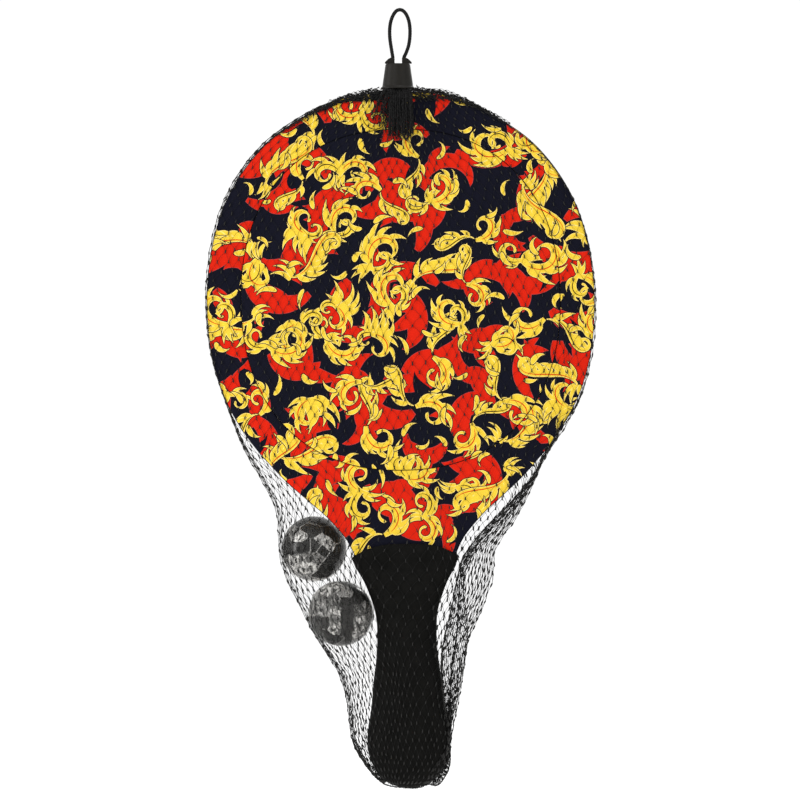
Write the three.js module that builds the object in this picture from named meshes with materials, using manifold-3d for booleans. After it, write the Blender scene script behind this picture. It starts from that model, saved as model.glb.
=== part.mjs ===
// Frescobol racket in its carrying net, with two balls, as it hangs in a shop.
// Millimetres, +Z up, the racket's printed front faces -Y, +X is to the right
// when it is seen from the front. The origin is the point inside the top of
// the hang loop, where a hook carries the whole set.

import * as THREE from 'three';
import { mergeVertices } from 'three/addons/utils/BufferGeometryUtils.js';
import Module from 'manifold-3d';

const wasm = await Module();
wasm.setup();

// ---------------------------------------------------------------- dimensions

// Racket: half width of the blade at each height, from the top down, in the
// racket's own frame (origin at the centre of the face, long axis along Z).
const BLADE_TOP = 122.9;
const BLADE_HALF = [
  [120.6, 27.0], [114.0, 46.5], [103.0, 66.0], [91.6, 81.5], [77.6, 94.2], [62.0, 104.3],
  [47.0, 111.0], [26.6, 116.6], [4.0, 119.6], [-11.0, 120.0], [-28.0, 119.0], [-42.0, 116.9],
  [-54.0, 113.9], [-67.0, 109.3], [-83.0, 100.9], [-96.0, 91.9], [-104.5, 84.8], [-117.0, 73.4],
  [-130.0, 59.2], [-138.5, 49.6], [-150.0, 39.2], [-157.0, 34.6], [-164.0, 31.4],
];
// Tongue of the plywood blade inside the grip.
const TONGUE_HALF = [
  [-170.0, 28.3], [-176.0, 25.0], [-182.0, 21.7], [-190.0, 18.6], [-198.0, 16.3], [-206.0, 15.3],
  [-219.0, 15.1], [-230.0, 15.9], [-244.0, 17.6], [-255.0, 18.8], [-266.0, 20.3], [-277.0, 21.6],
  [-286.0, 20.9], [-294.0, 18.0], [-299.0, 14.4], [-302.0, 9.0],
];
const TONGUE_END = -303.2;
const RACKET_X = 0.465; // face centre below the hook point
const RACKET_Z = -172.6;
const RACKET_TILT = -0.0183; // the racket hangs 1 degree off the vertical

// Plywood: five plies and four glue lines.
const PLY = 1.3;
const GLUE = 0.1;
const CORE_HALF = (5 * PLY + 4 * GLUE) / 2;

// Neoprene pads on both faces, with a seam between centre and rim panel.
const PAD = 2.4;
const PAD_BOTTOM = -166.6;
const SEAM_RX = 98.6;
const SEAM_RZ = 105.4;
const SEAM_Z = -6.2;
const SEAM_POWER = 2.25;
const SEAM_GAP = 0.9;

// Wooden cheeks on the tongue, under the foam.
const SCALE_TOP = -186;
const SCALE_BOTTOM = -298;
const SCALE_THICK = 5.7;
const SCALE_BEVEL = 2.6;

// Foam grip: height, half width, half thickness, squareness of the section.
const GRIP = [
  [-169.5, 31.6, 9.0, 7.0], [-174.3, 29.3, 10.0, 5.0], [-180.5, 25.9, 11.2, 3.6],
  [-189.0, 22.5, 12.3, 2.9], [-197.2, 19.9, 12.8, 2.6], [-206.0, 18.7, 13.0, 2.6],
  [-219.0, 18.5, 13.0, 2.6], [-229.5, 19.3, 13.2, 2.6], [-243.7, 21.1, 13.6, 2.6],
  [-255.0, 22.4, 14.0, 2.6], [-266.0, 24.2, 14.4, 2.6], [-277.0, 25.7, 14.6, 2.6],
  [-286.0, 24.9, 14.3, 2.6], [-294.6, 22.2, 13.2, 2.6], [-301.5, 17.6, 11.0, 2.6],
  [-306.0, 11.4, 7.6, 2.5], [-308.4, 5.0, 3.4, 2.4],
];
const GRIP_TOP_HALF = 33.4;
const GRIP_TOP_THICK = 8.3;
const GRIP_TOP_POWER = 8;
const GRIP_ARC_TOP = -157.2; // the mouth is an arc that falls towards the edges
const GRIP_ARC_DROP = 8.6;

// Balls: two bonded half shells each, in clear film.
const BALL_R = 20.0;
const BALL_WALL = 3.6;
const BALL_SEAM = 0.12;
const FILM_R = 20.75;
const FILM_THICK = 0.3;
const FILM_MOUTH = 0.16; // radians from the pole to the edge of the opening
export const UPPER_BALL = [-53.5, 13.5, -333.5];
export const LOWER_BALL = [-36.7, 6.5, -373.6];

// Collar and hang loop.
const COLLAR_X = -1.2;
const COLLAR_TOP = -32.5;
const COLLAR_BOTTOM = -48.3;
const COLLAR_FLAT = 0.82; // depth over width
const CORD = 2.3;
const ANCHOR_X = -0.9;
const LEG = 3.4; // half the distance between the loop's legs
export const LOOP_PATH = [
  [-4.3, -40.2], [-4.3, -36.0], [-4.3, -32.0], [-4.32, -28.6], [-4.9, -24.8], [-5.6, -20.5], [-6.15, -16.0],
  [-6.2, -10.5], [-5.4, -5.6], [-3.7, -1.6], [-1.9, 0.55], [0.0, 1.15], [1.9, 0.6],
  [3.8, -1.4], [5.5, -5.3], [6.3, -10.3], [6.25, -15.8], [5.5, -21.0], [4.1, -25.2],
  [2.55, -28.8], [2.5, -32.0], [2.5, -36.0], [2.5, -40.2],
];

// Net: rows of knots, and how far the cord mesh stands off what it holds.
const NET_ROWS = [
  -48.9, -53.5, -63, -80, -104, -132, -162, -192, -222, -250, -276, -300, -323, -346, -369, -392,
  -418, -446, -471, -484.4,
];
const NET_FRONT_CELLS = 6;
const NET_STAND_OFF = 1.7;
const NET_CORD = 1.2;
// Outline of the slack net beside the racket: height, left and right edge.
const NET_EDGE = [
  [-240, -109, 104], [-266, -99, 95], [-290, -86, 84], [-310, -76, 75], [-330, -76, 61],
  [-347, -74, 58.5], [-366, -64, 53.5], [-389, -51, 42], [-410, -37, 40.5], [-432, -32, 35],
  [-450, -31, 32], [-465, -24, 30], [-476, -15, 23],
];

// ------------------------------------------------------------------ helpers

const racket = new THREE.Group();
racket.position.set(RACKET_X, 0, RACKET_Z);
racket.rotation.y = RACKET_TILT;

const assembly = new THREE.Group();
assembly.add(racket);

const finish = {
  wood: { color: 0xd6b483, roughness: 0.7, metalness: 0 },
  crossWood: { color: 0xb98f5d, roughness: 0.75, metalness: 0 },
  neoprene: { color: 0xd93a1c, roughness: 0.85, metalness: 0 },
  neopreneRim: { color: 0xe8b92a, roughness: 0.85, metalness: 0 },
  foam: { color: 0x121213, roughness: 0.95, metalness: 0 },
  plastic: { color: 0x2d2b28, roughness: 0.55, metalness: 0 },
  cord: { color: 0x141414, roughness: 0.8, metalness: 0 },
  net: { color: 0x0e0e0f, roughness: 0.6, metalness: 0 },
  rubber: { color: 0x3a3936, roughness: 0.6, metalness: 0 },
  film: { color: 0xcfcac0, roughness: 0.2, metalness: 0 },
};

function add(parent, name, geometry, look) {
  const mesh = new THREE.Mesh(facingOut(geometry), new THREE.MeshStandardMaterial(finish[look]));
  mesh.name = name;
  parent.add(mesh);
  return mesh;
}

// Turns every triangle round if the closed body's volume comes out negative.
function facingOut(geometry) {
  const g = indexed(geometry);
  const p = g.attributes.position;
  const ix = g.index;
  const a = new THREE.Vector3();
  const b = new THREE.Vector3();
  const c = new THREE.Vector3();
  let volume = 0;
  for (let i = 0; i < ix.count; i += 3) {
    a.fromBufferAttribute(p, ix.getX(i));
    b.fromBufferAttribute(p, ix.getX(i + 1));
    c.fromBufferAttribute(p, ix.getX(i + 2));
    volume += a.dot(b.cross(c)) / 6;
  }
  if (volume < 0) {
    for (let i = 0; i < ix.count; i += 3) {
      const t = ix.getX(i + 1);
      ix.setX(i + 1, ix.getX(i + 2));
      ix.setX(i + 2, t);
    }
  }
  g.computeVertexNormals();
  return g;
}

function indexed(geometry) {
  const g = geometry.clone();
  for (const name of ['normal', 'uv']) if (g.attributes[name]) g.deleteAttribute(name);
  const merged = mergeVertices(g, 1e-4);
  const keep = [];
  const ix = merged.index;
  for (let i = 0; i < ix.count; i += 3) {
    const [p, q, r] = [ix.getX(i), ix.getX(i + 1), ix.getX(i + 2)];
    if (p !== q && q !== r && r !== p) keep.push(p, q, r);
  }
  merged.setIndex(keep);
  return merged;
}

function fromTriangles(points, faces) {
  const g = new THREE.BufferGeometry();
  g.setAttribute('position', new THREE.Float32BufferAttribute(points.flat(), 3));
  g.setIndex(faces.flat());
  return g;
}

function solid(geometry) {
  const g = facingOut(geometry);
  return new wasm.Manifold(new wasm.Mesh({
    numProp: 3,
    vertProperties: new Float32Array(g.attributes.position.array),
    triVerts: new Uint32Array(g.index.array),
  }));
}

function fromSolid(body) {
  const m = body.getMesh();
  const g = new THREE.BufferGeometry();
  const points = [];
  for (let i = 0; i < m.vertProperties.length; i += m.numProp) {
    points.push(m.vertProperties[i], m.vertProperties[i + 1], m.vertProperties[i + 2]);
  }
  g.setAttribute('position', new THREE.Float32BufferAttribute(points, 3));
  g.setIndex(Array.from(m.triVerts));
  return g;
}

// Linear look-up in rows of [height, value, ...], heights falling.
function at(rows, z, column = 1) {
  if (z >= rows[0][0]) return rows[0][column];
  for (let i = 1; i < rows.length; i++) {
    if (z >= rows[i][0]) {
      const t = (rows[i - 1][0] - z) / (rows[i - 1][0] - rows[i][0]);
      return rows[i - 1][column] + t * (rows[i][column] - rows[i - 1][column]);
    }
  }
  return rows[rows.length - 1][column];
}

// A closed outline, counter-clockwise in (x, z), from a half profile.
function mirrored(topZ, half, bottom, count) {
  const keys = [new THREE.Vector2(0, topZ), ...half.map(([z, w]) => new THREE.Vector2(w, z))];
  if (bottom.round) keys.push(new THREE.Vector2(0, bottom.z));
  const curve = new THREE.SplineCurve(keys);
  const right = curve.getSpacedPoints(count);
  if (!bottom.round) {
    right[right.length - 1].y = bottom.z;
  }
  const left = right
    .slice(1, bottom.round ? -1 : undefined)
    .map((p) => new THREE.Vector2(-p.x, p.y));
  return [...left, ...right.reverse()].map((p) => p.clone());
}

function inward(loop, i, distance) {
  const n = loop.length;
  const a = loop[(i + n - 1) % n];
  const b = loop[i];
  const c = loop[(i + 1) % n];
  const u = b.clone().sub(a).normalize();
  const v = c.clone().sub(b).normalize();
  const m = new THREE.Vector2(-(u.y + v.y), u.x + v.x).normalize();
  const spread = Math.max(0.5, m.x * -u.y + m.y * u.x);
  return b.clone().addScaledVector(m, distance / spread);
}

// A plate in the x-z plane built up of layers: each has a y and an inset of
// all its edges, so that edges can be rounded. loops[0] is the outline,
// counter-clockwise; the others are holes, clockwise.
function layered(loops, layers) {
  const points = [];
  const faces = [];
  const start = [];
  for (const layer of layers) {
    start.push(points.length);
    for (const loop of loops) {
      loop.forEach((p, i) => {
        const q = layer.inset ? inward(loop, i, layer.inset) : p;
        points.push([q.x, layer.y, q.y]);
      });
    }
  }
  const cap = THREE.ShapeUtils.triangulateShape(loops[0], loops.slice(1));
  const last = start.length - 1;
  for (const [a, b, c] of cap) {
    faces.push([start[0] + a, start[0] + b, start[0] + c]);
    faces.push([start[last] + a, start[last] + c, start[last] + b]);
  }
  for (let k = 0; k < last; k++) {
    let base = 0;
    for (const loop of loops) {
      for (let i = 0; i < loop.length; i++) {
        const j = (i + 1) % loop.length;
        const a = start[k] + base + i;
        const b = start[k] + base + j;
        const c = start[k + 1] + base + j;
        const d = start[k + 1] + base + i;
        faces.push([a, d, c], [a, c, b]);
      }
      base += loop.length;
    }
  }
  return fromTriangles(points, faces);
}

// A closed body through rings of equal count, with a flat fan at both ends.
function lofted(rings) {
  const n = rings[0].length;
  const points = rings.flat();
  const faces = [];
  for (let k = 0; k + 1 < rings.length; k++) {
    for (let i = 0; i < n; i++) {
      const j = (i + 1) % n;
      faces.push([k * n + i, (k + 1) * n + i, (k + 1) * n + j], [k * n + i, (k + 1) * n + j, k * n + j]);
    }
  }
  for (const k of [0, rings.length - 1]) {
    const mid = [0, 1, 2].map((axis) => rings[k].reduce((s, p) => s + p[axis], 0) / n);
    const m = points.push(mid) - 1;
    for (let i = 0; i < n; i++) {
      const j = (i + 1) % n;
      faces.push(k === 0 ? [m, k * n + i, k * n + j] : [m, k * n + j, k * n + i]);
    }
  }
  return fromTriangles(points, faces);
}

function superEllipse(a, b, power, t) {
  const c = Math.cos(t);
  const s = Math.sin(t);
  const r = (Math.abs(c) ** power + Math.abs(s) ** power) ** (-1 / power);
  return [a * c * r, b * s * r];
}

// A body of revolution about a vertical axis; profile rows are [radius, z].
function turned(profile, segments, x, flat) {
  const g = new THREE.LatheGeometry(profile.map(([r, z]) => new THREE.Vector2(r, z)), segments);
  g.rotateX(Math.PI / 2); // the lathe's axis is Y: it becomes Z
  g.scale(1, flat, 1);
  g.translate(x, 0, 0);
  return g;
}

// ----------------------------------------------------------- the racket core

const bladeOutline = mirrored(
  BLADE_TOP,
  [...BLADE_HALF, ...TONGUE_HALF],
  { z: TONGUE_END, round: true },
  52,
);
const plyY = [0, 1, 2, 3, 4].map((i) => -CORE_HALF + i * (PLY + GLUE));
const plyNames = ['face_ply_front', 'cross_ply_front', 'center_ply', 'cross_ply_back', 'face_ply_back'];
plyNames.forEach((name, i) => {
  const y = plyY[i];
  add(racket, name, layered([bladeOutline], [{ y, inset: 0 }, { y: y + PLY, inset: 0 }]),
    name.startsWith('cross') ? 'crossWood' : 'wood');
});

// Neoprene pads: a centre panel and the rim panel around it, on each face.
const padOutline = mirrored(BLADE_TOP, BLADE_HALF, { z: PAD_BOTTOM, round: false }, 38);
const seam = (grow, count, clockwise) => {
  const loop = [];
  for (let i = 0; i < count; i++) {
    const [x, z] = superEllipse(SEAM_RX + grow, SEAM_RZ + grow, SEAM_POWER, (2 * Math.PI * i) / count);
    loop.push(new THREE.Vector2(x, z + SEAM_Z));
  }
  return clockwise ? loop.reverse() : loop;
};
const padIn = CORE_HALF + GLUE;
const padOut = padIn + PAD;
for (const [side, name] of [[-1, 'front'], [1, 'back']]) {
  const layers = [
    { y: side * padIn, inset: 0 },
    { y: side * (padOut - 0.9), inset: 0 },
    { y: side * (padOut - 0.25), inset: 0.3 },
    { y: side * padOut, inset: 0.95 },
  ];
  if (side < 0) layers.reverse();
  add(racket, `${name}_center_pad`, layered([seam(-SEAM_GAP / 2, 52, false)], layers), 'neoprene');
  add(racket, `${name}_rim_pad`, layered([padOutline, seam(SEAM_GAP / 2, 52, true)], layers), 'neopreneRim');
}

// --------------------------------------------------------------- the handle

const scaleHalf = TONGUE_HALF.filter(([z]) => z < SCALE_TOP - 2 && z > SCALE_BOTTOM + 2)
  .map(([z, w]) => [z, w - 0.6]);
const scaleOutline = [
  new THREE.Vector2(-at(TONGUE_HALF, SCALE_TOP) + 4.5, SCALE_TOP),
  ...scaleHalf.map(([z, w]) => new THREE.Vector2(-w, z)),
  new THREE.Vector2(-9.5, SCALE_BOTTOM),
  new THREE.Vector2(9.5, SCALE_BOTTOM),
  ...scaleHalf.map(([z, w]) => new THREE.Vector2(w, z)).reverse(),
  new THREE.Vector2(at(TONGUE_HALF, SCALE_TOP) - 4.5, SCALE_TOP),
];
const scaleOuter = padIn + SCALE_THICK;
for (const [side, name] of [[-1, 'front'], [1, 'back']]) {
  const layers = [
    { y: side * padIn, inset: 0 },
    { y: side * (scaleOuter - SCALE_BEVEL * 0.8), inset: 0 },
    { y: side * scaleOuter, inset: SCALE_BEVEL },
  ];
  if (side < 0) layers.reverse();
  add(racket, `handle_scale_${name}`, layered([scaleOutline], layers), 'wood');
}

function gripSleeve() {
  const n = 32;
  const ring = (a, b, power, height) => {
    const out = [];
    for (let i = 0; i < n; i++) {
      const [x, y] = superEllipse(a, b, power, (2 * Math.PI * i) / n);
      out.push([x, y, height(x)]);
    }
    return out;
  };
  const rings = [
    ring(GRIP_TOP_HALF, GRIP_TOP_THICK, GRIP_TOP_POWER,
      (x) => GRIP_ARC_TOP - GRIP_ARC_DROP * (Math.abs(x) / GRIP_TOP_HALF) ** 3),
    ...GRIP.map(([z, a, b, power]) => ring(a, b, power, () => z)),
  ];
  let body = solid(lofted(rings));
  // The pocket: clear of the pads' neck, the tongue and the two cheeks.
  const clear = 0.3;
  const neck = padOutline.filter((p) => p.y < -140).sort((p, q) => p.x - q.x);
  const leftSide = neck.filter((p) => p.x < 0).sort((p, q) => q.y - p.y);
  const rightSide = neck.filter((p) => p.x > 0).sort((p, q) => p.y - q.y);
  const neckOutline = [...leftSide, ...rightSide];
  const inflate = (layers) => layers.map((l) => ({ y: l.y, inset: l.inset - clear }));
  body = body.subtract(solid(layered([neckOutline], inflate([
    { y: -padOut - clear, inset: 0 }, { y: padOut + clear, inset: 0 },
  ]))));
  body = body.subtract(solid(layered([bladeOutline], inflate([
    { y: -CORE_HALF - clear, inset: 0 }, { y: CORE_HALF + clear, inset: 0 },
  ]))));
  const o = scaleOuter + clear;
  body = body.subtract(solid(layered([scaleOutline], inflate([
    { y: -o, inset: SCALE_BEVEL }, { y: -o + SCALE_BEVEL * 0.8, inset: 0 },
    { y: o - SCALE_BEVEL * 0.8, inset: 0 }, { y: o, inset: SCALE_BEVEL },
  ]))));
  return fromSolid(body);
}
add(racket, 'grip_sleeve', gripSleeve(), 'foam');

// ---------------------------------------------------- collar, loop and neck

const lengthOfCollar = COLLAR_TOP - COLLAR_BOTTOM;
add(assembly, 'collar', turned([
  [6.4, COLLAR_TOP], [7.3, COLLAR_TOP], [7.6, COLLAR_TOP - 0.4],
  [9.5, COLLAR_TOP - lengthOfCollar * 0.88], [10.5, COLLAR_TOP - lengthOfCollar * 0.93],
  [10.5, COLLAR_BOTTOM], [8.3, COLLAR_BOTTOM], [6.4, COLLAR_TOP],
], 24, COLLAR_X, COLLAR_FLAT), 'plastic');

function loopAnchor() {
  const shape = new THREE.Shape([
    [-4.9, -28.8], [4.9, -28.8], [6.2, -29.5], [8.3, -31.5], [8.3, -32.2], [5.4, -32.2],
    [5.2, -40.0], [-5.2, -40.0], [-5.4, -32.2], [-8.3, -32.2], [-8.3, -31.5], [-6.2, -29.5],
  ].map(([x, z]) => new THREE.Vector2(x, z)));
  const block = new THREE.ExtrudeGeometry(shape, { depth: 4.0, bevelEnabled: false });
  block.rotateX(Math.PI / 2);
  block.translate(0, 2.0, 0);
  let body = solid(block);
  for (const x of [-LEG, LEG]) {
    const bore = new THREE.CylinderGeometry(1.52, 1.52, 20, 12);
    bore.rotateX(Math.PI / 2);
    bore.translate(x, 0, -35);
    body = body.subtract(solid(bore));
  }
  // The head is open between the cord's two legs, so it stands as two barbs.
  const between = new THREE.BoxGeometry(4.8, 6, 5);
  between.translate(0, 0, -29.9);
  body = body.subtract(solid(between));
  const g = fromSolid(body);
  g.translate(ANCHOR_X, 0, 0);
  return g;
}
add(assembly, 'loop_anchor', loopAnchor(), 'plastic');

function roundTube(path, diameter, sides, steps) {
  const section = new THREE.Shape();
  for (let i = 0; i < sides; i++) {
    const t = (2 * Math.PI * (i + 0.5)) / sides;
    const p = [(Math.cos(t) * diameter) / 2, (Math.sin(t) * diameter) / 2];
    if (i === 0) section.moveTo(...p);
    else section.lineTo(...p);
  }
  section.closePath();
  const curve = new THREE.CatmullRomCurve3(path.map((p) => new THREE.Vector3(...p)), false, 'centripetal');
  return new THREE.ExtrudeGeometry(section, { steps, bevelEnabled: false, extrudePath: curve });
}
add(assembly, 'hang_loop', roundTube(LOOP_PATH.map(([x, z]) => [x, 0, z]), CORD, 8, 30), 'cord');

// The gathered mouth of the net, clamped in the collar.
add(assembly, 'net_neck', turned([
  [0, -40.9], [5.4, -40.9], [6.6, -41.6], [7.6, COLLAR_BOTTOM + 0.2], [0, COLLAR_BOTTOM + 0.2],
], 16, COLLAR_X, COLLAR_FLAT), 'net');

// The loose end of the gathered net, hanging in front of the face.
const tuftOutline = [
  [-9.6, -48.8], [-12.6, -54.0], [-14.6, -60.0], [-15.0, -68.0], [-13.0, -74.0], [-8.6, -79.4],
  [-3.0, -77.6], [2.4, -79.8], [7.4, -78.4], [8.9, -70.0], [8.9, -60.0], [8.4, -54.0], [6.4, -48.8],
].map(([x, z]) => new THREE.Vector2(x, z));
add(assembly, 'net_tuft', layered([tuftOutline], [
  { y: -15.2, inset: 2.2 }, { y: -14.0, inset: 0.5 }, { y: -12.0, inset: 0 }, { y: -10.6, inset: 1.0 },
]), 'net');

// -------------------------------------------------------------------- balls

function halfShell(side) {
  const outer = [];
  const inner = [];
  const steps = 6;
  const r = BALL_R - BALL_WALL;
  for (let i = 0; i <= steps; i++) {
    const t = (Math.PI / 2) * (i / steps);
    outer.push(new THREE.Vector2(BALL_R * Math.sin(t), Math.max(BALL_SEAM, BALL_R * Math.cos(t))));
  }
  for (let i = steps; i >= 0; i -= 1) {
    const t = (Math.PI / 2) * (i / steps);
    inner.push(new THREE.Vector2(r * Math.sin(t), Math.max(BALL_SEAM, r * Math.cos(t))));
  }
  const profile = [...outer, ...inner];
  profile[0].x = 0;
  profile[profile.length - 1].x = 0;
  const g = new THREE.LatheGeometry(profile, 18);
  if (side > 0) return g;
  g.rotateX(Math.PI);
  return g;
}

function filmShell() {
  const profile = [];
  const steps = 9;
  const lowest = FILM_MOUTH;
  for (let i = 0; i <= steps; i++) {
    const t = Math.PI - (Math.PI - lowest) * (i / steps);
    profile.push(new THREE.Vector2(FILM_R * Math.sin(t), FILM_R * Math.cos(t)));
  }
  const r = FILM_R - FILM_THICK;
  for (let i = steps; i >= 0; i -= 1) {
    const t = Math.PI - (Math.PI - lowest) * (i / steps);
    profile.push(new THREE.Vector2(r * Math.sin(t), r * Math.cos(t)));
  }
  profile[0].x = 0;
  profile[profile.length - 1].x = 0;
  return new THREE.LatheGeometry(profile, 18);
}

for (const [name, where] of [['upper_ball', UPPER_BALL], ['lower_ball', LOWER_BALL]]) {
  const ball = new THREE.Group();
  ball.position.set(...where);
  assembly.add(ball);
  add(ball, `${name}_front_half`, halfShell(-1), 'rubber');
  add(ball, `${name}_back_half`, halfShell(1), 'rubber');
  add(ball, `${name}_film`, filmShell(), 'film');
}

// ---------------------------------------------------------------- the net bag

// Points of everything the net holds, around one height.
function heldAt(z) {
  const cloud = [];
  const local = z - RACKET_Z;
  const shift = RACKET_X - local * Math.abs(RACKET_TILT);
  if (local < BLADE_TOP && local > -168) {
    const w = at([[BLADE_TOP, 0], [122.2, 14], ...BLADE_HALF], local);
    for (const s of [-1, 1]) for (const y of [-padOut, padOut]) cloud.push([shift + s * w, y]);
  }
  if (local < GRIP_ARC_TOP && local > -308.6) {
    const a = local > GRIP[0][0] ? GRIP_TOP_HALF : at(GRIP, local, 1);
    const b = local > GRIP[0][0] ? GRIP_TOP_THICK : at(GRIP, local, 2);
    const power = local > GRIP[0][0] ? GRIP_TOP_POWER : at(GRIP, local, 3);
    for (let i = 0; i < 32; i++) {
      const [x, y] = superEllipse(a, b, power, (2 * Math.PI * i) / 32);
      cloud.push([x + shift, y]);
    }
  }
  for (const [x, y, zc] of [UPPER_BALL, LOWER_BALL]) {
    const h = FILM_R ** 2 - (z - zc) ** 2;
    if (h <= 0) continue;
    for (let i = 0; i < 32; i++) {
      const t = (2 * Math.PI * i) / 32;
      cloud.push([x + Math.sqrt(h) * Math.cos(t), y + Math.sqrt(h) * Math.sin(t)]);
    }
  }
  return cloud;
}

function support(cloud, nx, ny) {
  return cloud.reduce((best, [x, y]) => Math.max(best, x * nx + y * ny), -1e9);
}

function sectionOf(row) {
  const z = NET_ROWS[row];
  const rows = NET_ROWS.length;
  let cloud = [];
  let off = NET_STAND_OFF;
  if (row === 0) {
    for (let i = 0; i < 24; i++) {
      const t = (2 * Math.PI * i) / 24;
      cloud.push([COLLAR_X + 7.6 * Math.cos(t), 6.4 * Math.sin(t)]);
    }
    off = 0.9;
  } else if (row === rows - 1) {
    for (const x of [-13, 25]) for (const y of [-2.2, 2.2]) cloud.push([x, y]);
  } else {
    const up = (NET_ROWS[row - 1] - z) * 0.5;
    const down = (z - NET_ROWS[row + 1]) * 0.5;
    for (let i = -6; i <= 6; i++) cloud.push(...heldAt(z + (i < 0 ? (i / 6) * down : (i / 6) * up)));
    if (z < NET_EDGE[0][0]) {
      cloud.push([at(NET_EDGE, z, 1), 0], [at(NET_EDGE, z, 2), 0]);
    }
  }
  const lean = 0.42 * Math.exp(-(((z + 340) / 42) ** 2)); // the back leans over the balls
  const turns = [Math.PI, 1.25 * Math.PI, 1.5 * Math.PI, 1.75 * Math.PI, 0, 0.25 * Math.PI,
    0.5 * Math.PI - lean * 0.8, 0.75 * Math.PI];
  const lines = turns.map((t) => {
    const nx = Math.cos(t);
    const ny = Math.sin(t);
    return [nx, ny, support(cloud, nx, ny) + off];
  });
  const corners = lines.map((line, i) => {
    const next = lines[(i + 1) % lines.length];
    const det = line[0] * next[1] - line[1] * next[0];
    return [
      (line[2] * next[1] - next[2] * line[1]) / det,
      (line[0] * next[2] - next[0] * line[2]) / det,
    ];
  });
  // corners[1]-[2] is the front edge and corners[5]-[6] the back edge.
  const loop = [];
  corners.forEach((c, i) => {
    loop.push(c);
    if (i === 1 || i === 5) {
      const d = corners[i + 1];
      for (let k = 1; k < NET_FRONT_CELLS; k++) {
        const t = k / NET_FRONT_CELLS;
        loop.push([c[0] + t * (d[0] - c[0]), c[1] + t * (d[1] - c[1])]);
      }
    }
  });
  return loop.map(([x, y]) => [x, y, z]);
}

function netBag() {
  const rows = NET_ROWS.map((_, i) => sectionOf(i));
  const columns = rows[0].length;
  const points = [];
  const faces = [];
  const normals = rows.map((loop) => loop.map((p, i) => {
    const a = loop[(i + columns - 1) % columns];
    const b = loop[(i + 1) % columns];
    const n = new THREE.Vector2(b[1] - a[1], a[0] - b[0]).normalize();
    return n;
  }));
  const pair = (p, n) => {
    const h = NET_CORD / 2;
    points.push([p[0] + n.x * h, p[1] + n.y * h, p[2]], [p[0] - n.x * h, p[1] - n.y * h, p[2]]);
    return points.length - 2;
  };
  const knot = new Map();
  const at2 = (i, j) => {
    const c = (i + columns) % columns;
    const key = `${c},${j}`;
    if (!knot.has(key)) knot.set(key, pair(rows[j][c], normals[j][c]));
    return { id: knot.get(key), p: rows[j][c], n: normals[j][c] };
  };
  const quad = (a, b, c, d) => faces.push([a, b, c], [a, c, d]);
  for (let j = 0; j < rows.length; j++) {
    for (let i = 0; i < columns; i++) {
      if ((i + j) % 2 === 0) continue;
      const ring = [at2(i - 1, j)];
      if (j + 1 < rows.length) ring.push(at2(i, j + 1));
      ring.push(at2(i + 1, j));
      if (j > 0) ring.push(at2(i, j - 1));
      if (ring.length === 3) {
        // The gathered edge of the net: closed between two knots of the last row.
        const ids = ring.map((r) => r.id);
        faces.push([ids[0], ids[1], ids[2]], [ids[0] + 1, ids[2] + 1, ids[1] + 1]);
        const [a, b] = j === 0 ? [ids[2], ids[0]] : [ids[1], ids[0]];
        if (j === 0) quad(b, a, a + 1, b + 1);
        else quad(a, b, b + 1, a + 1);
        continue;
      }
      const mid = [0, 1, 2].map((k) => ring.reduce((s, r) => s + r.p[k], 0) / ring.length);
      const n = ring.reduce((s, r) => s.add(r.n), new THREE.Vector2()).normalize();
      const size = Math.min(
        Math.hypot(...[0, 1, 2].map((k) => ring[0].p[k] - ring[2].p[k])),
        Math.hypot(...[0, 1, 2].map((k) => ring[1].p[k] - ring[3].p[k])),
      );
      const f = Math.min(0.42, 1.7 / size);
      const hole = ring.map((r) => pair(r.p.map((v, k) => v + (mid[k] - v) * f), n));
      for (let k = 0; k < 4; k++) {
        const m = (k + 1) % 4;
        const [p, q, u, v] = [ring[k].id, ring[m].id, hole[m], hole[k]];
        quad(p, q, u, v);
        quad(q + 1, p + 1, v + 1, u + 1);
        quad(v, u, u + 1, v + 1);
      }
    }
  }
  return fromTriangles(points, faces);
}
add(assembly, 'net_bag', netBag(), 'net');

// The stitched cord that closes the bottom of the net.
add(assembly, 'net_bottom_seam', roundTube([
  [-12.5, 0, -486.3], [0, 0, -486.7], [12, 0, -486.7], [24.5, 0, -486.3],
], 1.6, 8, 6), 'net');

export default assembly;
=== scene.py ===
# Looks of the frescobol racket in its carrying net. Lengths in the tables are
# millimetres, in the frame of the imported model; meshes are built in metres.
import math
import random

import bpy
import numpy as np
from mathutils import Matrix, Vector
from mathutils.geometry import delaunay_2d_cdt


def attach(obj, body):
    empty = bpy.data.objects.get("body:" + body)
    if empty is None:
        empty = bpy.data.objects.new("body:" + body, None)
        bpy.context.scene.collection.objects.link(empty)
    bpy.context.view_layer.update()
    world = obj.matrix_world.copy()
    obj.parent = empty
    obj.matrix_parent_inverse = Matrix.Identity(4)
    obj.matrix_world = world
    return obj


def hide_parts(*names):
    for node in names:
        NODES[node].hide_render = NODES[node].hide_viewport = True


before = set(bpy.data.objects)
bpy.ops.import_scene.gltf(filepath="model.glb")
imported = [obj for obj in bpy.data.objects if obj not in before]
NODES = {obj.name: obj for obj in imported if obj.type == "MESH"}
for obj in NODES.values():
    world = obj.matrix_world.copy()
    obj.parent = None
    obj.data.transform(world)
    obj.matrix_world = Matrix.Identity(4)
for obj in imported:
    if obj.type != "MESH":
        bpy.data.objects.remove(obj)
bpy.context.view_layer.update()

MM = 0.001

# ------------------------------------------------------------------ camera

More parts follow.
